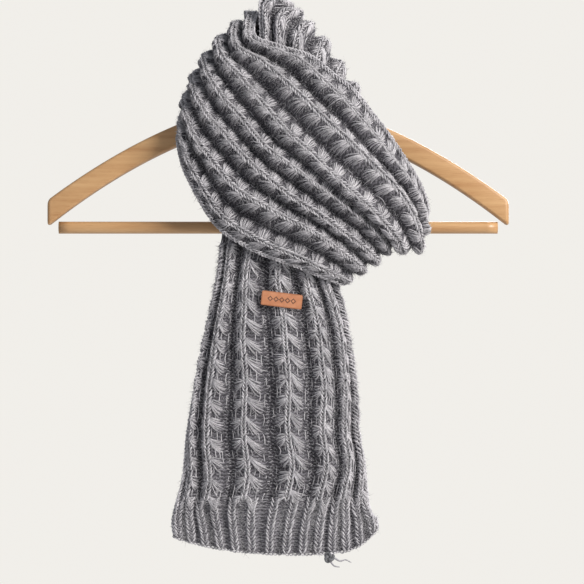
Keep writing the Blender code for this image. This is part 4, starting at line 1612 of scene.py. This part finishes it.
# --- the hanger ----------------------------------------------------------------
@dataclass
class Hanger:
    """The wooden arms, the trouser bar and the wire hook."""

    palette: Palette
    half_span: float = 210.0 * MM
    apex_z: float = -136.5 * MM
    slope: float = 0.218
    curve: float = 1.376
    blend: float = 18.0 * MM
    height: float = 19.0 * MM
    end_growth: float = 5.0 * MM
    thickness: float = 16.0 * MM
    edge: float = 3.2 * MM
    bar_z: float = -254.5 * MM
    bar_radius: float = 5.5 * MM
    bar_half: float = 200.0 * MM
    wire: float = 2.0 * MM
    eye: float = 19.0 * MM
    eye_turns: tuple[float, float] = (-52.0, 205.0)
    shank_top: float = -56.0 * MM
    shank_depth: float = 18.0 * MM
    sway_start: float = 12.0 * MM     # how far the sway keeps the shank's direction
    sway_end: float = 9.0 * MM        # and how far the eye's

    def top(self, x: np.ndarray) -> np.ndarray:
        """Height of the arms' top edge: a rounded peak that falls ever faster."""
        reach = np.sqrt(x**2 + self.blend**2) - self.blend
        return self.apex_z - self.slope * reach - self.curve * reach**2

    def arms(self) -> None:
        """Both arms: a rectangle with round corners carried along the arms' curve.

        A station's corners are quarter circles of the edge radius, and the last stations
        shrink by a quarter circle, which rounds the ends. The rectangles run from the
        front over the top, so that the faces between them point outwards.
        """
        x = self.half_span * np.sin(np.linspace(-np.pi / 2, np.pi / 2, 121))[:, None]
        tall = self.height + self.end_growth * (x / self.half_span) ** 2
        rest = np.clip((np.abs(x) - self.half_span + self.edge) / self.edge, 0, 1)
        shrink = self.edge * (1 - np.sqrt(np.maximum(1 - rest**2, 0)))
        half_depth, half_height = self.thickness / 2 - shrink, tall / 2 - shrink
        y, z = rounded_rectangles(half_depth, half_height, self.edge * 0.98, 6)
        rings = np.stack([np.broadcast_to(x, y.shape), -y, self.top(x) - tall / 2 + z], axis=-1)
        mesh = ring_mesh("arms_wood", rings)
        add_piece(mesh, self.palette.get(Finish.BEECH), "hanger_shoulders")

    def bar(self) -> None:
        """The trouser bar: a turned rod."""
        path = np.linspace([-self.bar_half, 0, self.bar_z], [self.bar_half, 0, self.bar_z], 41)
        mesh = sweep_mesh("bar_wood", path, self.bar_radius, 32)
        add_piece(mesh, self.palette.get(Finish.BEECH), "hanger_bar")

    def hook(self) -> None:
        """The wire hook: a straight shank, a Bezier sway and an arc round the eye."""
        ring = self.eye + self.wire
        turns = np.radians(np.linspace(*self.eye_turns, 70))
        arc = np.stack([ring * np.cos(turns), 0 * turns, ring * np.sin(turns) - self.eye], axis=1)
        start = np.array([0.0, 0.0, self.shank_top])
        lead_in = np.array([0.0, 0.0, self.sway_start])
        lead_out = np.array([-math.sin(turns[0]), 0.0, math.cos(turns[0])]) * self.sway_end
        t = np.linspace(0, 1, 25)[:-1, None]
        sway = (
            (1 - t) ** 3 * start
            + 3 * t * (1 - t) ** 2 * (start + lead_in)
            + 3 * t**2 * (1 - t) * (arc[0] - lead_out)
            + t**3 * arc[0]
        )
        shank = np.linspace([0, 0, self.apex_z - self.shank_depth], start, 12)[:-1]
        mesh = sweep_mesh("hook_wire", np.concatenate([shank, sway, arc]), self.wire, 20)
        add_piece(mesh, self.palette.get(Finish.STEEL), "hook")

    def build(self) -> None:
        """Make the arms, the bar and the hook."""
        self.arms()
        self.bar()
        self.hook()


# --- the studio ----------------------------------------------------------------
class Lamp(NamedTuple):
    """A square area light that faces the cloth."""

    name: str
    place: Triple
    size: float
    power: float
    colour: Triple


LAMPS = (
    Lamp("key", (1.45, -1.4, 0.6), 0.95, 56.0, (1.0, 0.985, 0.95)),
    Lamp("fill", (-1.3, -1.6, 0.0), 1.6, 3.0, (0.93, 0.96, 1.0)),
    Lamp("back", (0.9, 1.9, 0.5), 1.4, 50.0, (0.97, 0.98, 1.0)),
)


@dataclass
class Studio:
    """Floor, surround, soft lights and camera."""

    frame_width: float = 525.6 * MM      # what the square frame spans at the cloth
    focus: Triple = (12.6 * MM, -30.0 * MM, -313.2 * MM)
    distance: float = 2.2
    sensor: float = 36.0
    floor_z: float = -1.75
    floor_half: float = 9.0
    floor_colour: Triple = (0.86, 0.84, 0.81)
    floor_glow: float = 0.93             # how much of the floor's look is the surround's
    ambient: float = 0.3
    ambient_colour: Triple = (0.88, 0.93, 1.0)
    backdrop: Triple = (0.88, 0.86, 0.82)

    def blend(self, kit: NodeKit, share: Socket, shaders: list[bpy.types.Node], sink: str) -> None:
        """Mix two shaders, and join them to the tree's output node.

        Args:
            kit: the tools for the tree.
            share: the second shader's share.
            shaders: both shaders.
            sink: the output node's name.
        """
        inputs = {0: share, 1: shaders[0].outputs[0], 2: shaders[1].outputs[0]}
        either = kit.add("ShaderNodeMixShader", inputs)
        kit.feed(kit.tree.nodes[sink], {"Surface": either.outputs[0]})

    def floor(self) -> None:
        """A plain pale floor, which to the eye runs into the surround."""
        corners = np.array([[-1, -1, 0], [1, -1, 0], [1, 1, 0], [-1, 1, 0]]) * self.floor_half
        mesh = mesh_from("floor", corners + [0, 0, self.floor_z], [np.arange(4)[None]])
        material, kit, shader = new_material("pale_floor")
        kit.feed(shader, {"Base Color": (*self.floor_colour, 1.0), "Roughness": 0.9})
        glow = kit.add("ShaderNodeEmission", {"Color": (*self.backdrop, 1.0)})
        seen = kit.add("ShaderNodeLightPath").outputs["Is Camera Ray"]
        share = kit.math("MULTIPLY", seen, self.floor_glow)
        self.blend(kit, share, [shader, glow], "Material Output")
        mesh.materials.append(material)
        add_object("floor", mesh)

    def light(self, lamp: Lamp) -> None:
        """Put one lamp in the scene, with its face turned to the cloth."""
        data = bpy.data.lights.new(lamp.name, "AREA")
        data.size, data.energy, data.color = lamp.size, lamp.power, lamp.colour
        item = add_object(lamp.name, data)
        item.location = lamp.place
        item.rotation_mode = "QUATERNION"
        item.rotation_quaternion = (Vector(self.focus) - Vector(lamp.place)).to_track_quat("-Z", "Y")

    def world(self) -> None:
        """A pale surround for the eye, and a dimmer, cooler one for the light it sheds."""
        world = bpy.data.worlds.new("surround")
        bpy.context.scene.world = world
        world.use_nodes = True
        kit = NodeKit(world.node_tree)
        shed = world.node_tree.nodes["Background"]
        kit.feed(shed, {"Color": (*self.ambient_colour, 1.0), "Strength": self.ambient})
        seen = kit.add("ShaderNodeBackground", {"Color": (*self.backdrop, 1.0)})
        path = kit.add("ShaderNodeLightPath").outputs["Is Camera Ray"]
        self.blend(kit, path, [shed, seen], "World Output")

    def camera(self) -> None:
        """A long lens straight in front: focal length = sensor x distance / frame width."""
        data = bpy.data.cameras.new("camera")
        data.sensor_width = self.sensor
        data.lens = self.sensor * self.distance / self.frame_width
        data.clip_start, data.clip_end = 0.1, 50.0
        camera = add_object("camera", data)
        x, y, z = self.focus
        camera.location = (x, y - self.distance, z)
        camera.rotation_euler = (math.pi / 2, 0.0, 0.0)
        bpy.context.scene.camera = camera

    def build(self) -> None:
        """Set the whole stage."""
        self.floor()
        self.world()
        for lamp in LAMPS:
            self.light(lamp)
        self.camera()
        bpy.context.scene.view_settings.view_transform = "Standard"


def main() -> None:
    """Build the model in order and report each piece."""
    logging.basicConfig(level=logging.INFO, format="%(name)s %(message)s")
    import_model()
    yarn_group()
    grain_group()
    palette = Palette()
    Studio().build()
    Scarf(palette).build()
    YarnEnd(palette).build()
    Label(palette).build()
    Hanger(palette).build()


if __name__ == "__main__":
    main()
